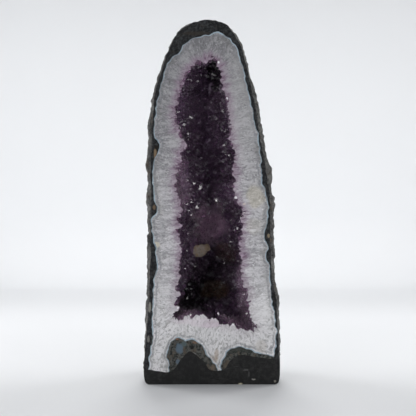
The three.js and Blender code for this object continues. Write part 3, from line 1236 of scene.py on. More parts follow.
@dataclass(frozen=True)
class AmethystCrystal:
    """Clear violet quartz, painted paler by the opening where light reaches it and with painted shade that
    makes it nearly black in the depths.

    Args:
        clear: its colour by the opening, painted paler for the light that reaches the crystals there.
        deep: its colour in the hollow.
        dusk: its darker clouds in the hollow.
        night: its colour where no light comes.
        lit_lilac: its palest colour, painted as light on the walls not far behind the opening.
        back_pale: its paler colour on the middle of the back wall.
        violet: what it lets through.
        density: how strongly it absorbs the rest, per metre.
        bright: painted light: pale patches where light falls on the walls not far behind the opening.
        dim: patches in the depths: painted shade where light does not reach, a paler patch on the back wall,
            and brown stains.
        peak_shade: painted shade at the top of the hollow.
    """

    clear: Colour = (0.88, 0.60, 0.82)
    deep: Colour = (0.49, 0.33, 0.49)
    dusk: Colour = (0.26, 0.16, 0.29)
    night: Colour = (0.05, 0.035, 0.05)
    lit_lilac: Colour = (0.97, 0.74, 0.92)
    back_pale: Colour = (0.90, 0.70, 0.84)
    violet: Colour = (0.48, 0.17, 0.52)
    density: float = 60.0
    # Painted light on the walls not far behind the opening.
    bright: tuple[Patch, ...] = (
        Patch(-40, 246, 15, 38, lit_lilac, 1),
        Patch(43, 122, 16, 40, lit_lilac, 1),
        Patch(-34, 90, 18, 14, lit_lilac, 1),
        Patch(38, 76, 28, 24, lit_lilac, 1),
    )
    # Painted shade in the depths, a paler patch on the back wall, and brown stains.
    dim: tuple[Patch, ...] = (
        Patch(-3, 196, 32, 36, back_pale, 0.95),
        Patch(6, 126, 42, 40, (0.22, 0.155, 0.215), 0.85),
        Patch(-22, 104, 30, 30, night, 0.97),
        Patch(18, 160, 22, 16, (0.34, 0.22, 0.16), 0.5),
        Patch(4, 110, 22, 15, (0.42, 0.27, 0.20), 0.85),
    )
    # Painted shade at the top of the hollow.
    peak_shade: Patch = Patch(3, 386, 12, 26, night, 0.9)

    def material(self) -> Material:
        """Builds the material.

        Returns:
            The material.
        """
        bench = Bench("amethyst_crystal", self.deep)
        cloud = bench.noise(60)
        wander = bench.sway(cloud, 1.3)
        depth = bench.total(bench.axis("Y"), bench.sway(cloud, 30 * MM))
        bench.coat(bench.step(cloud, 0.38, 0.64, (0, 0.5)), self.dusk)
        # Painted light: paler near the opening, where light reaches the crystals.
        bench.coat(bench.step(depth, FACE_Y + 12 * MM, FACE_Y - 1 * MM), self.clear)
        # Painted light on the walls not far behind the opening.
        bench.patches(self.bright, wander, bench.step(depth, FACE_Y + 66 * MM, FACE_Y + 32 * MM))
        # Painted shade in the depths, a paler patch on the back wall, and brown stains.
        bench.patches(self.dim, wander, bench.step(depth, FACE_Y + 18 * MM, FACE_Y + 45 * MM))
        # Painted shade at the top of the hollow.
        bench.patches((self.peak_shade,), wander, bench.step(depth, FACE_Y + 3 * MM, FACE_Y + 12 * MM))
        fill = {"Color": rgba(self.violet), "Density": self.density}
        volume = bench.node("ShaderNodeVolumeAbsorption", fill)
        matt = bench.step(bench.noise(900, 2), 0.4, 0.7, (0.02, 0.14))
        matt_top = bench.step(bench.axis("Z"), 250 * MM, 310 * MM)
        return bench.finish(
            volume, Roughness=bench.blend((matt, 1), (matt_top, 0.16)), IOR=1.544, Transmission_Weight=0.86,
            Specular_IOR_Level=0.9,
        )


@dataclass(frozen=True)
class CrystalBed:
    """The violet quartz that the points grow from, painted lighter near the opening, with painted shade in
    the lower and upper hollow, a paler patch and brown stains on the hollow's back wall.
    """

    deep: Colour = (0.065, 0.035, 0.072)
    pale: Colour = (0.21, 0.145, 0.22)
    lit: Colour = (0.52, 0.40, 0.53)
    night: Colour = (0.015, 0.008, 0.016)
    earth: Colour = (0.16, 0.095, 0.05)
    # Painted shade where light does not reach the lower and upper hollow, a paler patch in the middle of the
    # back wall, and brown stains.
    back: tuple[Patch, ...] = (
        Patch(-3, 196, 28, 32, (0.66, 0.48, 0.62), 0.9),
        Patch(4, 122, 42, 40, (0.05, 0.03, 0.05), 0.85),
        Patch(-20, 102, 34, 26, night, 0.9),
        Patch(8, 385, 16, 32, night, 0.8),
        Patch(18, 160, 20, 15, earth, 0.5),
        Patch(4, 110, 20, 14, earth, 0.5),
    )

    def material(self) -> Material:
        """Builds the material.

        Returns:
            The material.
        """
        bench = Bench("crystal_bed", self.deep)
        cloud, fine = bench.noise(40, 4), bench.noise(500)
        bench.coat(bench.step(bench.blend((fine, 0.4), (cloud, 0.6)), 0.40, 0.62), self.pale)
        depth = bench.total(bench.axis("Y"), bench.sway(cloud, 30 * MM))
        bench.coat(bench.step(depth, FACE_Y + 45 * MM, FACE_Y + 4 * MM, (0, 0.9)), self.lit)
        # Painted shade in the lower and upper hollow, a paler patch and brown stains.
        bench.patches(self.back, bench.sway(cloud, 1.5), y=FACE_Y + 85 * MM, deep=50 * MM)
        return bench.finish(Roughness=0.4, IOR=1.54, Normal=bench.bump(fine, 0.6 * MM, 0.7))


@dataclass(frozen=True)
class TanCalcite:
    """Dull tan calcite with grey faces and brown specks."""

    tan: Colour = (0.46, 0.34, 0.235)
    grey: Colour = (0.49, 0.41, 0.35)
    brown: Colour = (0.18, 0.125, 0.085)

    def material(self) -> Material:
        """Builds the material.

        Returns:
            The material.
        """
        bench = Bench("tan_calcite", self.tan)
        fine = bench.noise(900, 4)
        bench.coat(bench.step(bench.noise(160, 4), 0.42, 0.6), self.grey)
        bench.coat(bench.step(fine, 0.52, 0.66, (0, 0.65)), self.brown)
        return bench.finish(Roughness=0.7, Normal=bench.bump(fine, 1.1 * MM))


@dataclass(frozen=True)
class Paper:
    """Seamless pale studio paper."""

    white: Colour = (0.80, 0.81, 0.825)
    shade: Colour = (0.74, 0.75, 0.77)

    def material(self) -> Material:
        """Builds the material.

        Returns:
            The material.
        """
        bench = Bench("studio_paper", self.white)
        bench.coat(bench.step(bench.noise(1.5, 2), 0.3, 0.7, (0, 0.12)), self.shade)
        return bench.finish(Roughness=0.85)


# ----------------------------------------
# The geode.


@dataclass
class FacePattern:
    """Says where each place on the sawn face lies between the rock and the hollow.

    Args:
        rock: the line where the mineral meets the one outside it round the sides.
        humps: the line where it does so over the lower pockets.
        hollow: the line along the crystals' tips.
        grain_out: how far outside the hollow the fibres' spacing is true, in metres.
    """

    rock: Outline
    humps: Outline
    hollow: Outline
    grain_out: float = 14 * MM

    def mark(self, mesh: Mesh) -> None:
        """Writes from_rock, to_hollow and grain to a mesh's vertices.

        Args:
            mesh: the mesh.
        """
        places = corners_of(mesh)[:, [0, 2]]
        smooth = self.hollow.smoothed(4 * MM)
        to_hollow = smooth.nearest(places)[0] * np.where(smooth.holds(places), -1, 1)
        track = self.hollow.smoothed(9 * MM).shifted(self.grain_out).smoothed(6 * MM)
        radius = track.steps().sum() / math.tau
        turn = track.nearest(places)[1] / radius
        noted(mesh, "from_rock", np.minimum(self.rock.nearest(places)[0], self.humps.nearest(places)[0]))
        noted(mesh, "to_hollow", to_hollow)
        noted(mesh, "grain", np.column_stack((radius * np.cos(turn), radius * np.sin(turn), to_hollow)))


@dataclass
class Nodule:
    """The shells that every piece of the geode is cut from.

    Args:
        skin: the spine of the rock's outer skin.
        lining: the spine of the agate's outer side.
        druse_back: the spine of the violet bed's outer side.
        hollow_back: the spine of the wall that the crystals stand on.
        skin_fullness: how boxy the nodule is in plan.
        inner_swell: share by which the inner shells widen behind the face.
        agate: thickness of the agate, in metres, at its thinnest and thickest.
        agate_back: thickness of the agate at the back, in millimetres.
        edge: outline of the sawn face.
        rock_line: the line where the agate meets the rock round the sides.
        humps: the line where it meets the rock of the lower pockets.
        hollow: the line along the crystals' tips.
        bed: thickness of the violet bed behind the crystals, in metres.
        stand: how far the crystals' tips stand out of the bed, in metres.
        foot_depth: a depth that is more than the nodule's, in metres.
        hump_depth: a depth that is more than the agate's, in metres.
    """

    skin: Spine = Spine((0, 0), (-8, 345), (150, 108), 140 * MM)
    lining: Spine = Spine((0, 95), (-8, 345), (136, 95), 120 * MM)
    druse_back: Spine = Spine((4, 118), (-9, 345), (105, 68), 100 * MM)
    hollow_back: Spine = Spine((4, 118), (-9, 345), (97, 60), 90 * MM)
    skin_fullness: Pair = (3.2, 2.1)
    inner_swell: float = 0.0135
    agate: Pair = (0.6 * MM, 2.0 * MM)
    agate_back: float = 2.4
    bed: float = 10.5 * MM
    stand: float = 3.3 * MM
    foot_depth: float = 200 * MM
    hump_depth: float = 140 * MM
    edge: Outline = field(init=False)
    rock_line: Outline = field(init=False)
    humps: Outline = field(init=False)
    hollow: Outline = field(init=False)

    def __post_init__(self) -> None:
        """Draws the lines on the sawn face."""
        self.edge = Outline.through(FACE_EDGE, 1.8 * MM)
        self.edge.points[:, 1] = np.maximum(self.edge.points[:, 1], 0)
        self.rock_line = Outline.through(AGATE_LINE, 1.2 * MM).wavered(2.0 * MM, 9 * MM, 3.1)
        self.humps = Outline.through(HUMPS, 1.2 * MM).wavered(1.7 * MM, 6 * MM, 5.7)
        self.hollow = Outline.through(CAVITY_LINE, 1.2 * MM)

    def agate_lines(self, share: float) -> tuple[Outline, Outline]:
        """The lines round the sides and over the lower pockets, moved into the agate.

        Args:
            share: how far, as a share of its thickness.
        Returns:
            The two lines.
        """
        thin, thick = self.agate
        width = [
            share * (thin + (thick - thin) * np.clip(0.5 + 0.8 * wave, 0, 1))
            for wave in (line.waves(noise.noise, 11 * MM, 9.3) for line in (self.rock_line, self.humps))
        ]
        return self.rock_line.moved(-width[0]), self.humps.moved(width[1])

    def outer(self, name: str, outline: Outline, rings: int, shoulder: Array | float = 0.0) -> Object:
        """Everything inside the nodule's outer skin, as a closed solid.

        Args:
            name: the object's name.
            outline: the outline of its sawn face.
            rings: how many rings it has behind the face.
            shoulder: how far it rounds outwards behind the face, in metres, at each point of the outline.
        Returns:
            The solid.
        """
        return Shell(outline, self.skin, self.skin_fullness, shoulder=shoulder).solid(name, rings)

    def inside_agate(self, name: str, share: float) -> Object:
        """Everything inside the agate, as a closed solid.

        Args:
            name: the object's name.
            share: share of the agate's thickness that is left off.
        Returns:
            The solid.
        """
        line, humps = self.agate_lines(share)
        depth = tuple(end - self.agate_back * share for end in self.lining.depth)
        solid = Shell(line, replace(self.lining, depth=depth), swell=self.inner_swell).solid(name, 24)
        combine(solid, Cut.TAKE_AWAY, block("hump_cutter", humps, self.hump_depth))
        return solid

    def druse(self, name: str) -> Object:
        """Everything inside the milky quartz, as a closed solid."""
        line = self.hollow.smoothed(3 * MM).moved(self.bed + self.stand)
        return Shell(line, self.druse_back, swell=self.inner_swell).solid(name, 16)

    def hollow_shell(self) -> Shell:
        """The wall that the crystals stand on."""
        line = self.hollow.smoothed(1.5 * MM).moved(self.stand)
        return Shell(line, self.hollow_back, swell=self.inner_swell)

    def foot(self) -> Object:
        """The space that the cement fills, wavy along its top."""
        line = Outline.through(FOOT, 2 * MM).wavered(0.5 * MM, 6 * MM, 1.3)
        return block("foot_space", line, self.foot_depth)


@dataclass
class CementFoot:
    """The cast foot, flush with the sawn face and flat underneath.

    Args:
        nodule: the shells that it is cut from.
        finish: its finish.
        rough: how rough its outer side is, in metres.
    """

    nodule: Nodule
    finish: CastCement
    rough: float = 0.5 * MM

    def build(self) -> Object:
        """Casts the foot in the lower end of the nodule.

        Returns:
            The finished piece.
        """
        piece = self.nodule.outer("cement_foot_cast", self.nodule.edge, 30)
        displace(piece, self.roughness, self.above_floor)
        combine(piece, Cut.KEEP_COMMON, self.nodule.foot())
        sawn(piece)
        material = self.finish.material()
        dressed(piece, material, material, 35)
        return piece

    def roughness(self, place: Vector) -> float:
        """How far the side stands out at a place, in metres."""
        return self.rough * noise.fractal(place / (30 * MM), 1.0, 2.0, 3)

    @staticmethod
    def above_floor(places: Array) -> Array:
        """No roughness at the floor, so that the underside stays flat."""
        return ramp01(places[:, 2], 0.5 * MM, 4 * MM)


@dataclass
class BasaltRind:
    """The rock shell, rough outside and sawn smooth in front.

    Args:
        nodule: the shells that it is cut from.
        sawn_finish: the finish of its sawn face.
        skin_finish: the finish of its skin.
        lumps: height of its broad lumps, in metres.
        dents: how much deeper its broad dents are at the back, as a share of that.
        grit: height of its fine roughness, in metres.
        pits: depth of its pits, as a share of their width.
        trim: how much narrower than the whole stone the sawn face is, in metres.
        shoulder: how far the skin stands out behind the sawn face, in metres.
    """

    nodule: Nodule
    sawn_finish: SawnBasalt
    skin_finish: WeatheredBasalt
    lumps: float = 2.2 * MM
    dents: float = 1.6
    grit: float = 1.1 * MM
    pits: float = 5.0 * MM
    trim: float = 1.9 * MM
    shoulder: float = 2.9 * MM

    def build(self) -> Object:
        """Cuts the rock shell.

        Returns:
            The finished piece.
        """
        edge = self.nodule.edge
        height = edge.points[:, 1]
        up = ramp01(height, 35 * MM, 90 * MM) * (1 - 0.85 * ramp01(height, 300 * MM, 400 * MM))
        up *= 0.35 + 0.65 * ramp01(height, 110 * MM, 240 * MM)
        waver = edge.waves(lambda place: noise.fractal(place, 1.0, 2.0, 3), 20 * MM, 1.7)
        shoulder = self.shoulder * up * np.clip(1 + 0.7 * waver, 0.25, 1.6)
        edge = edge.moved(-self.trim * up).wavered(0.6 * MM, 6 * MM, 2.2)
        piece = self.nodule.outer("basalt_rind_rock", edge, 78, shoulder)
        displace(piece, self.roughness, self.behind_face)
        combine(piece, Cut.TAKE_AWAY, self.nodule.inside_agate("rind_inside", 0), self.nodule.foot())
        sawn(piece)
        dressed(piece, self.sawn_finish.material(), self.skin_finish.material(), 40)
        return piece

    def roughness(self, place: Vector) -> float:
        """How far the skin stands out at a place.

        Args:
            place: the place, in metres.
        Returns:
            The distance, in metres.
        """
        broad = noise.fractal(place / (22 * MM), 0.9, 2.1, 4)
        dents = noise.fractal(place / (55 * MM), 1.0, 2.0, 2)
        grit = noise.hetero_terrain(place / (6 * MM), 0.9, 2.2, 3, 0.3)
        pit = max(0.0, 0.32 - noise.voronoi(place / (11 * MM))[0][0]) * self.pits
        behind = min(1.0, max(0.0, (place.y - FACE_Y - 35 * MM) / (50 * MM)))
        return self.lumps * (broad + self.dents * behind * dents) + self.grit * (grit - 0.4) - pit

    @staticmethod
    def behind_face(places: Array) -> Array:
        """Full roughness behind the face, and little of it where the saw went through."""
        return 0.35 + 0.65 * ramp01(places[:, 1] - FACE_Y, 0.0, 5 * MM)


@dataclass
class Layer:
    """A mineral between two of the nodule's shells, with a pattern on its sawn face.

    Args:
        nodule: the shells that it is cut from.
        pattern: what marks its sawn face.
        spacing: distance between vertices on its sawn face, in metres.
    """

    nodule: Nodule
    pattern: FacePattern
    spacing: float

    def cut(self, piece: Object, inside: Object, material: Material) -> Object:
        """Cuts the layer.

        Args:
            piece: everything inside the layer's outer side.
            inside: everything inside its inner side.
            material: its finish.
        Returns:
            The finished piece.
        """
        combine(piece, Cut.TAKE_AWAY, inside, self.nodule.foot())
        sawn(piece)
        refaced(piece, self.spacing)
        self.pattern.mark(piece.data)
        dressed(piece, material, material, 40)
        return piece


@dataclass
class AgateBand(Layer):
    """The thin blue band between the rock and the quartz."""

    spacing: float = 1.2 * MM

    def build(self, material: Material) -> Object:
        """Cuts the band, and gives it a finish."""
        inside = self.nodule.inside_agate("agate_inside", 1)
        return self.cut(self.nodule.inside_agate("agate_band_shell", 0), inside, material)


@dataclass
class QuartzWall(Layer):
    """The thick wall of milky quartz."""

    spacing: float = 1.3 * MM

    def build(self, material: Material) -> Object:
        """Cuts the wall, and gives it a finish."""
        inside = self.nodule.druse("quartz_inside")
        return self.cut(self.nodule.inside_agate("quartz_wall_milky", 1), inside, material)


@dataclass
class QuartzPoint:
    """One six-sided crystal, cut out by its flat faces.

    Args:
        radius: from its axis to a side, in metres, before its faces are made uneven.
        root: how far it reaches below the bed, as a share of the radius.
        shoulder: where its point starts above the bed, as a share of the radius.
        uneven: how much its faces differ.
        seed: picks its faces.
        slope: angle of its point's faces from the level, in degrees.
        side_stray: how far uneven sides stray, as a share of the radius.
        tip_stray: how far the faces of an uneven point stray.
        every_other: how much further out every other face of the point is.
    """

    radius: float
    root: float
    shoulder: float
    uneven: float
    seed: int
    slope: float = 51.8
    side_stray: float = 0.6
    tip_stray: float = 0.8
    every_other: float = 0.45

    def build(self, name: str) -> Object:
        """Makes the crystal, standing on the origin along +Z.

        Args:
            name: the object's name.
        Returns:
            The object, which is not linked to the scene.
        """
        mesh = bpy.data.meshes.new(name)
        with opened(mesh) as work:
            for corner in self.corners():
                work.verts.new(corner)
            bmesh.ops.remove_doubles(work, verts=work.verts[:], dist=0.004 * self.radius)
            hull = bmesh.ops.convex_hull(work, input=work.verts[:])
            inside = hull["geom_interior"] + hull["geom_unused"]
            spare = {item for item in inside if isinstance(item, bmesh.types.BMVert)}
            bmesh.ops.delete(work, geom=list(spare), context="VERTS")
            bmesh.ops.dissolve_limit(work, angle_limit=0.01, verts=work.verts[:], edges=work.edges[:])
            bmesh.ops.triangulate(work, faces=work.faces[:])
            bmesh.ops.recalc_face_normals(work, faces=work.faces[:])
        return bpy.data.objects.new(name, mesh)

    def corners(self) -> list[Array]:
        """Where three of its faces meet and no other face cuts the corner off.

        Returns:
            The corners, in metres, some of them more than once.
        """
        draw = np.random.default_rng(self.seed)
        turns = math.tau * np.arange(6) / 6
        across, along = np.cos(turns), np.sin(turns)
        rise = math.radians(self.slope)
        sides = np.column_stack((across, along, np.zeros(6)))
        tip_ways = (across * math.sin(rise), along * math.sin(rise), np.full(6, math.cos(rise)))
        planes = np.vstack((sides, np.column_stack(tip_ways), (0, 0, -1)))
        side_reach = 1 + self.uneven * draw.uniform(-self.side_stray, self.side_stray, 6)
        tip_reach = math.sin(rise) + self.shoulder * math.cos(rise)
        tip_reach = tip_reach + self.uneven * draw.uniform(-1, 1, 6) * self.tip_stray
        tip_reach += np.where(np.arange(6) % 2, self.every_other * self.uneven, 0)
        reach = np.concatenate((side_reach, tip_reach, (self.root,)))
        tolerance = 1e-6
        corners = []
        for three in combinations(range(len(planes)), 3):
            faces = planes[list(three)]
            if abs(np.linalg.det(faces)) > tolerance:
                place = np.linalg.solve(faces, reach[list(three)])
                if (planes @ place <= reach + tolerance).all():
                    corners.append(place * self.radius)
        return corners


class CrystalCrop(NodeTree):
    """A node group that plants crystals all over a surface."""

    INPUTS = (
        ("Spacing", "NodeSocketFloat", 3.2 * MM),
        ("Density", "NodeSocketFloat", 200000.0),
        ("Smallest", "NodeSocketFloat", 0.7),
        ("Largest", "NodeSocketFloat", 1.25),
        ("Lean", "NodeSocketFloat", 0.35),
        ("Seed", "NodeSocketInt", 11),
    )

    def __init__(self, points: bpy.types.Collection, material: Material) -> None:
        """Builds the group.

        Args:
            points: the crystals to choose from.
            material: their finish.
        """
        super().__init__(bpy.data.node_groups.new("crystal_crop", "GeometryNodeTree"))
        new_socket = self.tree.interface.new_socket
        new_socket("Geometry", in_out="INPUT", socket_type="NodeSocketGeometry")
        new_socket("Geometry", in_out="OUTPUT", socket_type="NodeSocketGeometry")
        self.sockets = {
            name: new_socket(name, in_out="INPUT", socket_type=kind).identifier
            for name, kind, _ in self.INPUTS
        }
        given = self.node("NodeGroupInput", {}).outputs
        seed, lean = given["Seed"], given["Lean"]
        spread = self.node("GeometryNodeDistributePointsOnFaces", {
            "Mesh": given["Geometry"], "Distance Min": given["Spacing"], "Density Max": given["Density"],
            "Density Factor": self.attribute("cover"), "Seed": seed,
        }, distribute_method="POISSON")
        stock = self.node("GeometryNodeCollectionInfo", {
            "Collection": points, "Separate Children": True, "Reset Children": True,
        })
        upright = self.node("FunctionNodeAlignRotationToVector", {
            "Vector": spread.outputs["Normal"],
        }, axis="Z")
        back = self.product(lean, -1.0)
        least = self.node("ShaderNodeCombineXYZ", {0: back, 1: back, 2: 0.0}).outputs[0]
        most = self.node("ShaderNodeCombineXYZ", {0: lean, 1: lean, 2: math.tau}).outputs[0]
        leaning = self.node("FunctionNodeRandomValue", {
            0: least, 1: most, "Seed": seed,
        }, data_type="FLOAT_VECTOR")
        turn = self.node("FunctionNodeEulerToRotation", {0: leaning.outputs[0]})
        turned = self.node("FunctionNodeRotateRotation", {
            "Rotation": upright.outputs[0], "Rotate By": turn.outputs[0],
        }, rotation_space="LOCAL")
        scale = self.node("FunctionNodeRandomValue", {
            2: given["Smallest"], 3: given["Largest"], "Seed": self.total(seed, 1.0),
        }, data_type="FLOAT")
        planted = self.node("GeometryNodeInstanceOnPoints", {
            "Points": spread.outputs["Points"], "Instance": stock.outputs[0], "Pick Instance": True,
            "Rotation": turned.outputs[0], "Scale": self.product(scale.outputs[1], self.attribute("size")),
        })
        solid = self.node("GeometryNodeRealizeInstances", {"Geometry": planted.outputs[0]})
        finished = self.node("GeometryNodeSetMaterial", {"Geometry": solid.outputs[0], "Material": material})
        self.node("NodeGroupOutput", {"Geometry": finished.outputs[0]})

    def attribute(self, name: str) -> Socket:
        """One of the ground's own attributes."""
        made = self.node("GeometryNodeInputNamedAttribute", {"Name": name}, data_type="FLOAT")
        return made.outputs["Attribute"]

    def grow(self, ground: Object, **sizes: float) -> Mesh:
        """Plants the crystals.

        Args:
            ground: the surface they stand on, with attributes cover and size.
            sizes: values for the named inputs that differ from the usual ones.
        Returns:
            The crystals as one plain mesh.
        """
        modifier = ground.modifiers.new("crystals", "NODES")
        modifier.node_group = self.tree
        for name, _, usual in self.INPUTS:
            modifier[self.sockets[name]] = sizes.get(name, usual)
        mesh = evaluated_mesh(ground)
        ground.modifiers.remove(modifier)
        return mesh


@dataclass
class CalciteLump:
    """The tan lump on the back wall of the hollow, with a small lobe beside it.

    Args:
        finish: its finish.
        centre: its middle, in metres.
        half: half its size along each axis, in metres.
        lobe: the way in which the lobe stands out.
        lobe_stand: how far it stands out, as a share of the lump.
        flattening: how much flatter the lump is in front.
    """

    finish: TanCalcite
    centre: Triple = (-17.2 * MM, FACE_Y + 81.5 * MM, 162 * MM)
    half: Triple = (11.2 * MM, 6 * MM, 9.7 * MM)
    lobe: Triple = (0.93, -0.15, 0.36)
    lobe_stand: float = 0.42
    flattening: float = 0.35

    def build(self) -> Object:
        """Shapes the lump.

        Returns:
            The finished piece.
        """
        piece = object_of("calcite_lump_tan", (), ())
        lobe = Vector(self.lobe).normalized()
        with opened(piece.data) as work:
            bmesh.ops.create_icosphere(work, subdivisions=5, radius=1.0)
            for vert in work.verts:
                way = vert.co.normalized()
                swell = 1 + 0.10 * noise.fractal(way * 1.7 + Vector((3, 1, 2)), 1.0, 2.0, 3)
                swell += 0.07 * noise.fractal(way * 5, 0.8, 2.1, 3)
                beside = min(1.0, max(0.0, way.dot(lobe) - 0.84) / 0.12)
                swell += self.lobe_stand * beside * beside * (3 - 2 * beside)
                grown = way * swell * 0.95
                vert.co = Vector((c + g * h for c, g, h in zip(self.centre, grown, self.half)))
                vert.co.y += self.flattening * max(0.0, -way.y) * self.half[1] * 0.5
        piece.data.materials.append(self.finish.material())
        piece.data.shade_smooth()
        return piece


@dataclass
class AmethystDruse:
    """The violet bed round the hollow and the crystals that stand on it.

    Args:
        nodule: the shells that it is cut from.
        pattern: what marks its sawn face.
        crystal: the finish of the crystals.
        bed: the finish of the bed.
        lump: the calcite, round which no crystals grow.
        spacing: least distance between crystals, in metres.
        face_spacing: distance between vertices on the sawn face, in metres.
        seed: picks where the crystals stand and how they lean.
        stock: kinds of crystal, each as its radius in millimetres, where its point starts as a share of that,
            and how uneven it is.
        rim: large crystals that the saw went through, each as the x and z of its tip in millimetres, the way
            it points in degrees from +X towards +Z, and its radius in millimetres.
        swellings: lumps of the bed that stand into the hollow, each as its side (-1 left, 1 right), height of
            its middle, half height, how far it stands out, and the depth at which it is full, all in metres.
        banks: stretches of the floor that rise towards the back, each as its left, its right and its rise.
    """

    nodule: Nodule
    pattern: FacePattern
    crystal: AmethystCrystal
    bed: CrystalBed
    lump: CalciteLump
    spacing: float = 3.8 * MM
    face_spacing: float = 1.3 * MM
    seed: int = 11
    stock: tuple[Triple, ...] = (
        (3, 0.35, 0.22), (2.5, 0.9, 0.25), (3.5, 0.15, 0.2),
        (2.8, 0.6, 0.3), (2.1, 1.3, 0.25), (3.1, 0.3, 0.3),
    )
    rim: tuple[tuple[float, float, float, float], ...] = (
        (-30.2, 292.2, -18, 8), (-35.8, 275.6, -20, 4.4), (-34.5, 215.2, 0, 3.8), (-37.6, 175.1, 0, 3.2),
        (-37, 133.8, 10, 3.4), (-42.5, 352, -20, 3), (-36, 196, 8, 3), (-37.5, 112, 5, 3.2),
        (19.7, 302.7, 190, 3.4), (25.3, 270.6, 180, 3.8), (25.3, 241, 185, 3.8), (32, 173.2, 180, 3.6),
        (33.3, 160.9, 180, 3.3), (18.5, 345.9, 190, 3), (34.5, 146, 172, 3), (30, 226, 160, 3.2),
        (-32, 85.7, 95, 3), (-18.5, 86.5, 82, 3.8), (-11, 87.5, 98, 4.2), (3.7, 82, 95, 3.8),
        (16, 74.5, 90, 3), (26.2, 76, 88, 3.2), (-39.5, 94.5, 12, 3.2), (38.2, 69, 92, 3),
        (-5, 404, -80, 3),
    )
    swellings: tuple[tuple[float, float, float, float, float], ...] = (
        (-1, 0.245, 0.045, 0.015, 0.045),
        (1, 0.100, 0.045, 0.014, 0.040),
        (-1, 0.335, 0.030, 0.008, 0.030),
        (-1, 0.110, 0.025, 0.006, 0.030),
        (1, 0.235, 0.020, 0.008, 0.035),
    )
    banks: tuple[Triple, ...] = ((-0.060, -0.012, 0.006), (0.010, 0.062, 0.011))

    def build(self, sawn_quartz: Material) -> Object:
        """Grows the druse.

        Args:
            sawn_quartz: the finish of its sawn face.
        Returns:
            The finished piece.
        """
        piece = self.nodule.druse("amethyst_druse_crystals")
        verts, faces, count = self.nodule.hollow_shell().wall(30)
        verts = self.shaped(verts)
        combine(piece, Cut.TAKE_AWAY, welded(object_of("hollow", verts, [*faces, range(count)])))
        sawn(piece)
        refaced(piece, self.face_spacing)
        dressed(piece, sawn_quartz, self.bed.material(), 50)
        material = self.crystal.material()
        piece.data.materials.append(material)
        ground = welded(object_of("ground", verts, [face[::-1] for face in faces]))
        self.join(piece, self.crystals(ground, material))
        bpy.data.objects.remove(ground)
        self.pattern.mark(piece.data)
        return piece

    def shaped(self, verts: Array) -> Array:
        """Gives the hollow's wall its lumps.

        Args:
            verts: the smooth wall.
        Returns:
            The uneven wall.
        """
        out = verts.copy()
        depth = verts[:, 1] - FACE_Y
        x, z = verts[:, 0] + 2 * MM, verts[:, 2]
        reach = np.clip(np.abs(x) / (20 * MM), 0, 1)
        for side, middle, half, stand, full in self.swellings:
            share = np.clip(1 - ((z - middle) / half) ** 2, 0, 1) ** 0.7
            share *= ramp01(depth, 0, full) * (np.sign(x) == side) * reach
            out[:, 0] -= side * stand * share
        floor = ramp01(-z, -112 * MM, -92 * MM)
        edge = 10 * MM
        for left, right, stand in self.banks:
            across = ramp01(verts[:, 0], left, left + edge) * ramp01(-verts[:, 0], -right, -right + edge)
            out[:, 2] += stand * floor * across * ramp01(depth, 0, 42 * MM)
        for i, place in enumerate(verts):
            here = Vector(place)
            stray = noise.noise_vector(here / (28 * MM)) * 3.4 * MM
            stray = stray + noise.noise_vector(here / (11 * MM)) * 1.6 * MM
            near = min(1.0, 0.25 + max(0.0, depth[i]) / (15 * MM))
            out[i] += np.array(stray) * near * np.array((1.0, 0.35 if depth[i] > 12 * MM else 0.0, 1.0))
        return out

    def crystals(self, ground: Object, material: Material) -> Mesh:
        """Plants the crystals on the wall, but not on the calcite.

        Args:
            ground: the wall, facing into the hollow.
            material: the crystals' finish.
        Returns:
            The crystals, not yet sawn.
        """
        places = corners_of(ground.data)
        away = np.abs(places - np.array(self.lump.centre)) / (np.array(self.lump.half) + 2 * MM)
        clear = ramp01(np.linalg.norm(away[:, [0, 2]], axis=1), 0.75, 0.95)
        beside = np.abs(places[:, 1] - self.lump.centre[1]) < 25 * MM
        patch = np.array([noise.noise(Vector(place) / (30 * MM) + Vector((4, 1, 7))) for place in places])
        noted(ground.data, "cover", np.where(beside, clear, 1.0))
        noted(ground.data, "size", 1.0 + 0.28 * np.clip(patch * 1.6, -1, 1))
        stock = bpy.data.collections.new("crystal_stock")
        bpy.context.scene.collection.children.link(stock)
        for i, (radius, shoulder, uneven) in enumerate(self.stock):
            point = QuartzPoint(radius * MM, 1.3, shoulder, uneven, self.seed + i)
            stock.objects.link(point.build(f"stock_point_{i}"))
        mesh = CrystalCrop(stock, material).grow(ground, Spacing=self.spacing, Seed=self.seed)
        for point in list(stock.objects):
            bpy.data.objects.remove(point)
        bpy.data.collections.remove(stock)
        return mesh

    def rim_points(self, draw: np.random.Generator) -> Iterator[Object]:
        """Makes the large crystals on the rim.

        Args:
            draw: where their turn and their depth come from.
        Returns:
            The crystals, one after the other, in their places.
        """
        for i, (x, z, turn, radius) in enumerate(self.rim):
            point = QuartzPoint(radius * MM, 2.2, 0.25, 0.2, 100 + i).build("rim_point")
            length = max(vert.co.z for vert in point.data.vertices)
            way = Vector((math.cos(math.radians(turn)), 0.0, math.sin(math.radians(turn))))
            spin = Matrix.Rotation(draw.uniform(0, math.tau), 4, "Z")
            tip = Vector((x * MM, FACE_Y + draw.uniform(-0.2, 0.5) * radius * MM, z * MM))
            lean = way.to_track_quat("Z", "Y").to_matrix().to_4x4()
            point.data.transform(Matrix.Translation(tip - way * length) @ lean @ spin)
            yield point

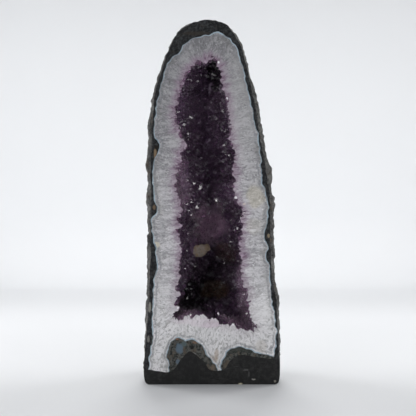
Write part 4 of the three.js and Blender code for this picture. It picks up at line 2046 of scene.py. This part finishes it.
    def join(self, piece: Object, crystals: Mesh) -> None:
        """Saws the crystals off at the face and puts them on the bed.

        Args:
            piece: the bed, which keeps its own two finishes.
            crystals: the unsawn crystals, which are used up.
        """
        draw = np.random.default_rng(self.seed)
        cut_y = FACE_Y + 0.02 * MM
        with opened(crystals, into=piece.data) as work:
            for point in self.rim_points(draw):
                work.from_mesh(point.data)
                bpy.data.objects.remove(point)
            for face in work.faces:
                face.material_index = 2
                face.smooth = False
            caps = saw(work, cut_y)
            for cap in caps:
                cap.material_index = 0
                step = draw.uniform(0, 0.06) * MM
                for vert in cap.verts:
                    vert.co.y = cut_y + step
            bmesh.ops.triangulate(work, faces=caps)
            work.from_mesh(piece.data)
        bpy.data.meshes.remove(crystals)


# ----------------------------------------
# The studio.


@dataclass
class Softbox:
    """A rectangular soft light.

    Args:
        name: its name.
        place: where it stands, in metres.
        aim: the place that it points at.
        size: its width and height, in metres.
        watts: its power.
        spread: how widely it shines, in degrees.
    """

    name: str
    place: Triple
    aim: Triple
    size: Pair
    watts: float
    spread: float = 180.0

    def build(self) -> None:
        """Hangs the light."""
        data = bpy.data.lights.new(self.name, "AREA")
        data.shape = "RECTANGLE"
        data.size, data.size_y = self.size
        data.energy = self.watts
        data.spread = math.radians(self.spread)
        light = bpy.data.objects.new(self.name, data)
        light.location = self.place
        light.rotation_euler = (Vector(self.aim) - Vector(self.place)).to_track_quat("-Z", "Y").to_euler()
        bpy.context.scene.collection.objects.link(light)


@dataclass
class Studio:
    """A pale paper sweep with soft lights, and the camera in front.

    Args:
        paper: the paper's finish.
        distance: from the camera to the sawn face, in metres.
        view: width of what the camera sees at the sawn face, in metres.
        middle: x and z of the view's middle, in metres.
        half_width: half the paper's width, in metres.
        front: y of the paper's front edge, in metres.
        near: y at which the paper's floor is divided, in metres.
        wall: y of the paper's wall, in metres.
        bend: radius of the bend between floor and wall, in metres.
        height: height of the wall, in metres.
        air: colour of the light from all round.
        air_strength: its strength.
        bounces: how often light may bounce, which see-through crystals need.
        lights: the soft lights.
    """

    paper: Paper
    distance: float = 1.2
    view: float = 0.513
    middle: Pair = (-0.0049, 0.2176)
    half_width: float = 3.0
    front: float = -3.0
    near: float = -0.5
    wall: float = 1.5
    bend: float = 0.2
    height: float = 3.0
    air: Colour = (0.93, 0.96, 1.0)
    air_strength: float = 0.20
    bounces: int = 24
    lights: tuple[Softbox, ...] = (
        Softbox("top_rear", (0, 0.95, 1.45), (0, -0.35, 0), (0.6, 0.4), 3.5, 95),
        Softbox("left_rear", (-1.3, 0.9, 0.95), (0, -0.25, 0), (0.7, 0.9), 2.5, 80),
        Softbox("right_rear", (1.3, 0.9, 0.95), (0, -0.25, 0), (0.7, 0.9), 2.3, 80),
        Softbox("left_wall", (-1.4, 0.3, 0.4), (0.3, 1.5, 0.0), (0.6, 0.8), 5.3, 130),
        Softbox("right_wall", (1.4, 0.3, 0.4), (-0.3, 1.5, 0.0), (0.6, 0.8), 4.8, 130),
        Softbox("far_top", (0, 0.9, 1.5), (0, 1.35, 0), (1.8, 0.4), 2.9, 75),
        Softbox("left_front", (-0.9, -1.5, 0.5), (0, 0, 0.15), (0.45, 0.6), 5.6),
        Softbox("right_front", (0.9, -1.5, 0.5), (0, 0, 0.15), (0.45, 0.6), 5.6),
    )

    def build(self) -> Object:
        """Sets up the studio.

        Returns:
            The paper sweep.
        """
        self.camera()
        for light in self.lights:
            light.build()
        world = bpy.data.worlds.new("studio_air")
        world.use_nodes = True
        background = world.node_tree.nodes["Background"]
        background.inputs["Color"].default_value = rgba(self.air)
        background.inputs["Strength"].default_value = self.air_strength
        scene = bpy.context.scene
        scene.world = world
        scene.view_settings.view_transform = "Standard"
        scene.cycles.max_bounces = scene.cycles.transmission_bounces = self.bounces
        return self.sweep()

    def camera(self) -> None:
        """Puts the camera level with the middle of the view."""
        data = bpy.data.cameras.new("camera")
        data.sensor_width = 36.0
        data.lens = data.sensor_width * self.distance / self.view
        camera = bpy.data.objects.new("camera", data)
        camera.location = (self.middle[0], FACE_Y - self.distance, self.middle[1])
        camera.rotation_euler = (math.pi / 2, 0, 0)
        bpy.context.scene.collection.objects.link(camera)
        bpy.context.scene.camera = camera

    def sweep(self) -> Object:
        """Hangs the paper: a floor that curves up into a wall.

        Returns:
            The sweep.
        """
        corner = self.wall - self.bend
        turns = np.linspace(0, math.pi / 2, 17)
        curve = [(corner + self.bend * math.sin(t), self.bend * (1 - math.cos(t))) for t in turns]
        profile = [(self.front, 0.0), (self.near, 0.0), *curve, (self.wall, self.height)]
        verts = [(side * self.half_width, y, z) for y, z in profile for side in (-1, 1)]
        faces = [(2 * i, 2 * i + 1, 2 * i + 3, 2 * i + 2) for i in range(len(profile) - 1)]
        sweep = object_of("paper_sweep", verts, faces)
        sweep.data.materials.append(self.paper.material())
        sweep.data.shade_smooth()
        return sweep


def hand_over(piece: Object, node: str) -> None:
    """Says what a finished piece rides on and stands for, and logs its triangles.

    Args:
        piece: the piece.
        node: the node that it replaces.
    """
    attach(piece, Body.ROOT.value)
    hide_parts(node)
    piece.data.validate()
    piece.data.calc_loop_triangles()
    LOG.info("%s: %d triangles", piece.name, len(piece.data.loop_triangles))


def main() -> None:
    """Builds the geode and the studio."""
    logging.basicConfig(level=logging.INFO, format="%(name)s: %(message)s")
    noise.seed_set(11)
    nodule = Nodule()
    quartz_pattern = FacePattern(*nodule.agate_lines(1), nodule.hollow)
    agate_pattern = FacePattern(nodule.rock_line, nodule.humps, nodule.hollow)
    sawn_quartz = SawnQuartz().material()
    lump = CalciteLump(TanCalcite())
    druse = AmethystDruse(nodule, quartz_pattern, AmethystCrystal(), CrystalBed(), lump)
    hand_over(CementFoot(nodule, CastCement()).build(), "cement_foot")
    hand_over(BasaltRind(nodule, SawnBasalt(), WeatheredBasalt()).build(), "basalt_rind")
    hand_over(AgateBand(nodule, agate_pattern).build(BandedAgate().material()), "agate_band")
    hand_over(QuartzWall(nodule, quartz_pattern).build(sawn_quartz), "quartz_wall")
    hand_over(druse.build(sawn_quartz), "amethyst_druse")
    hand_over(lump.build(), "calcite_lump")
    Studio(Paper()).build()


if __name__ == "__main__":
    main()
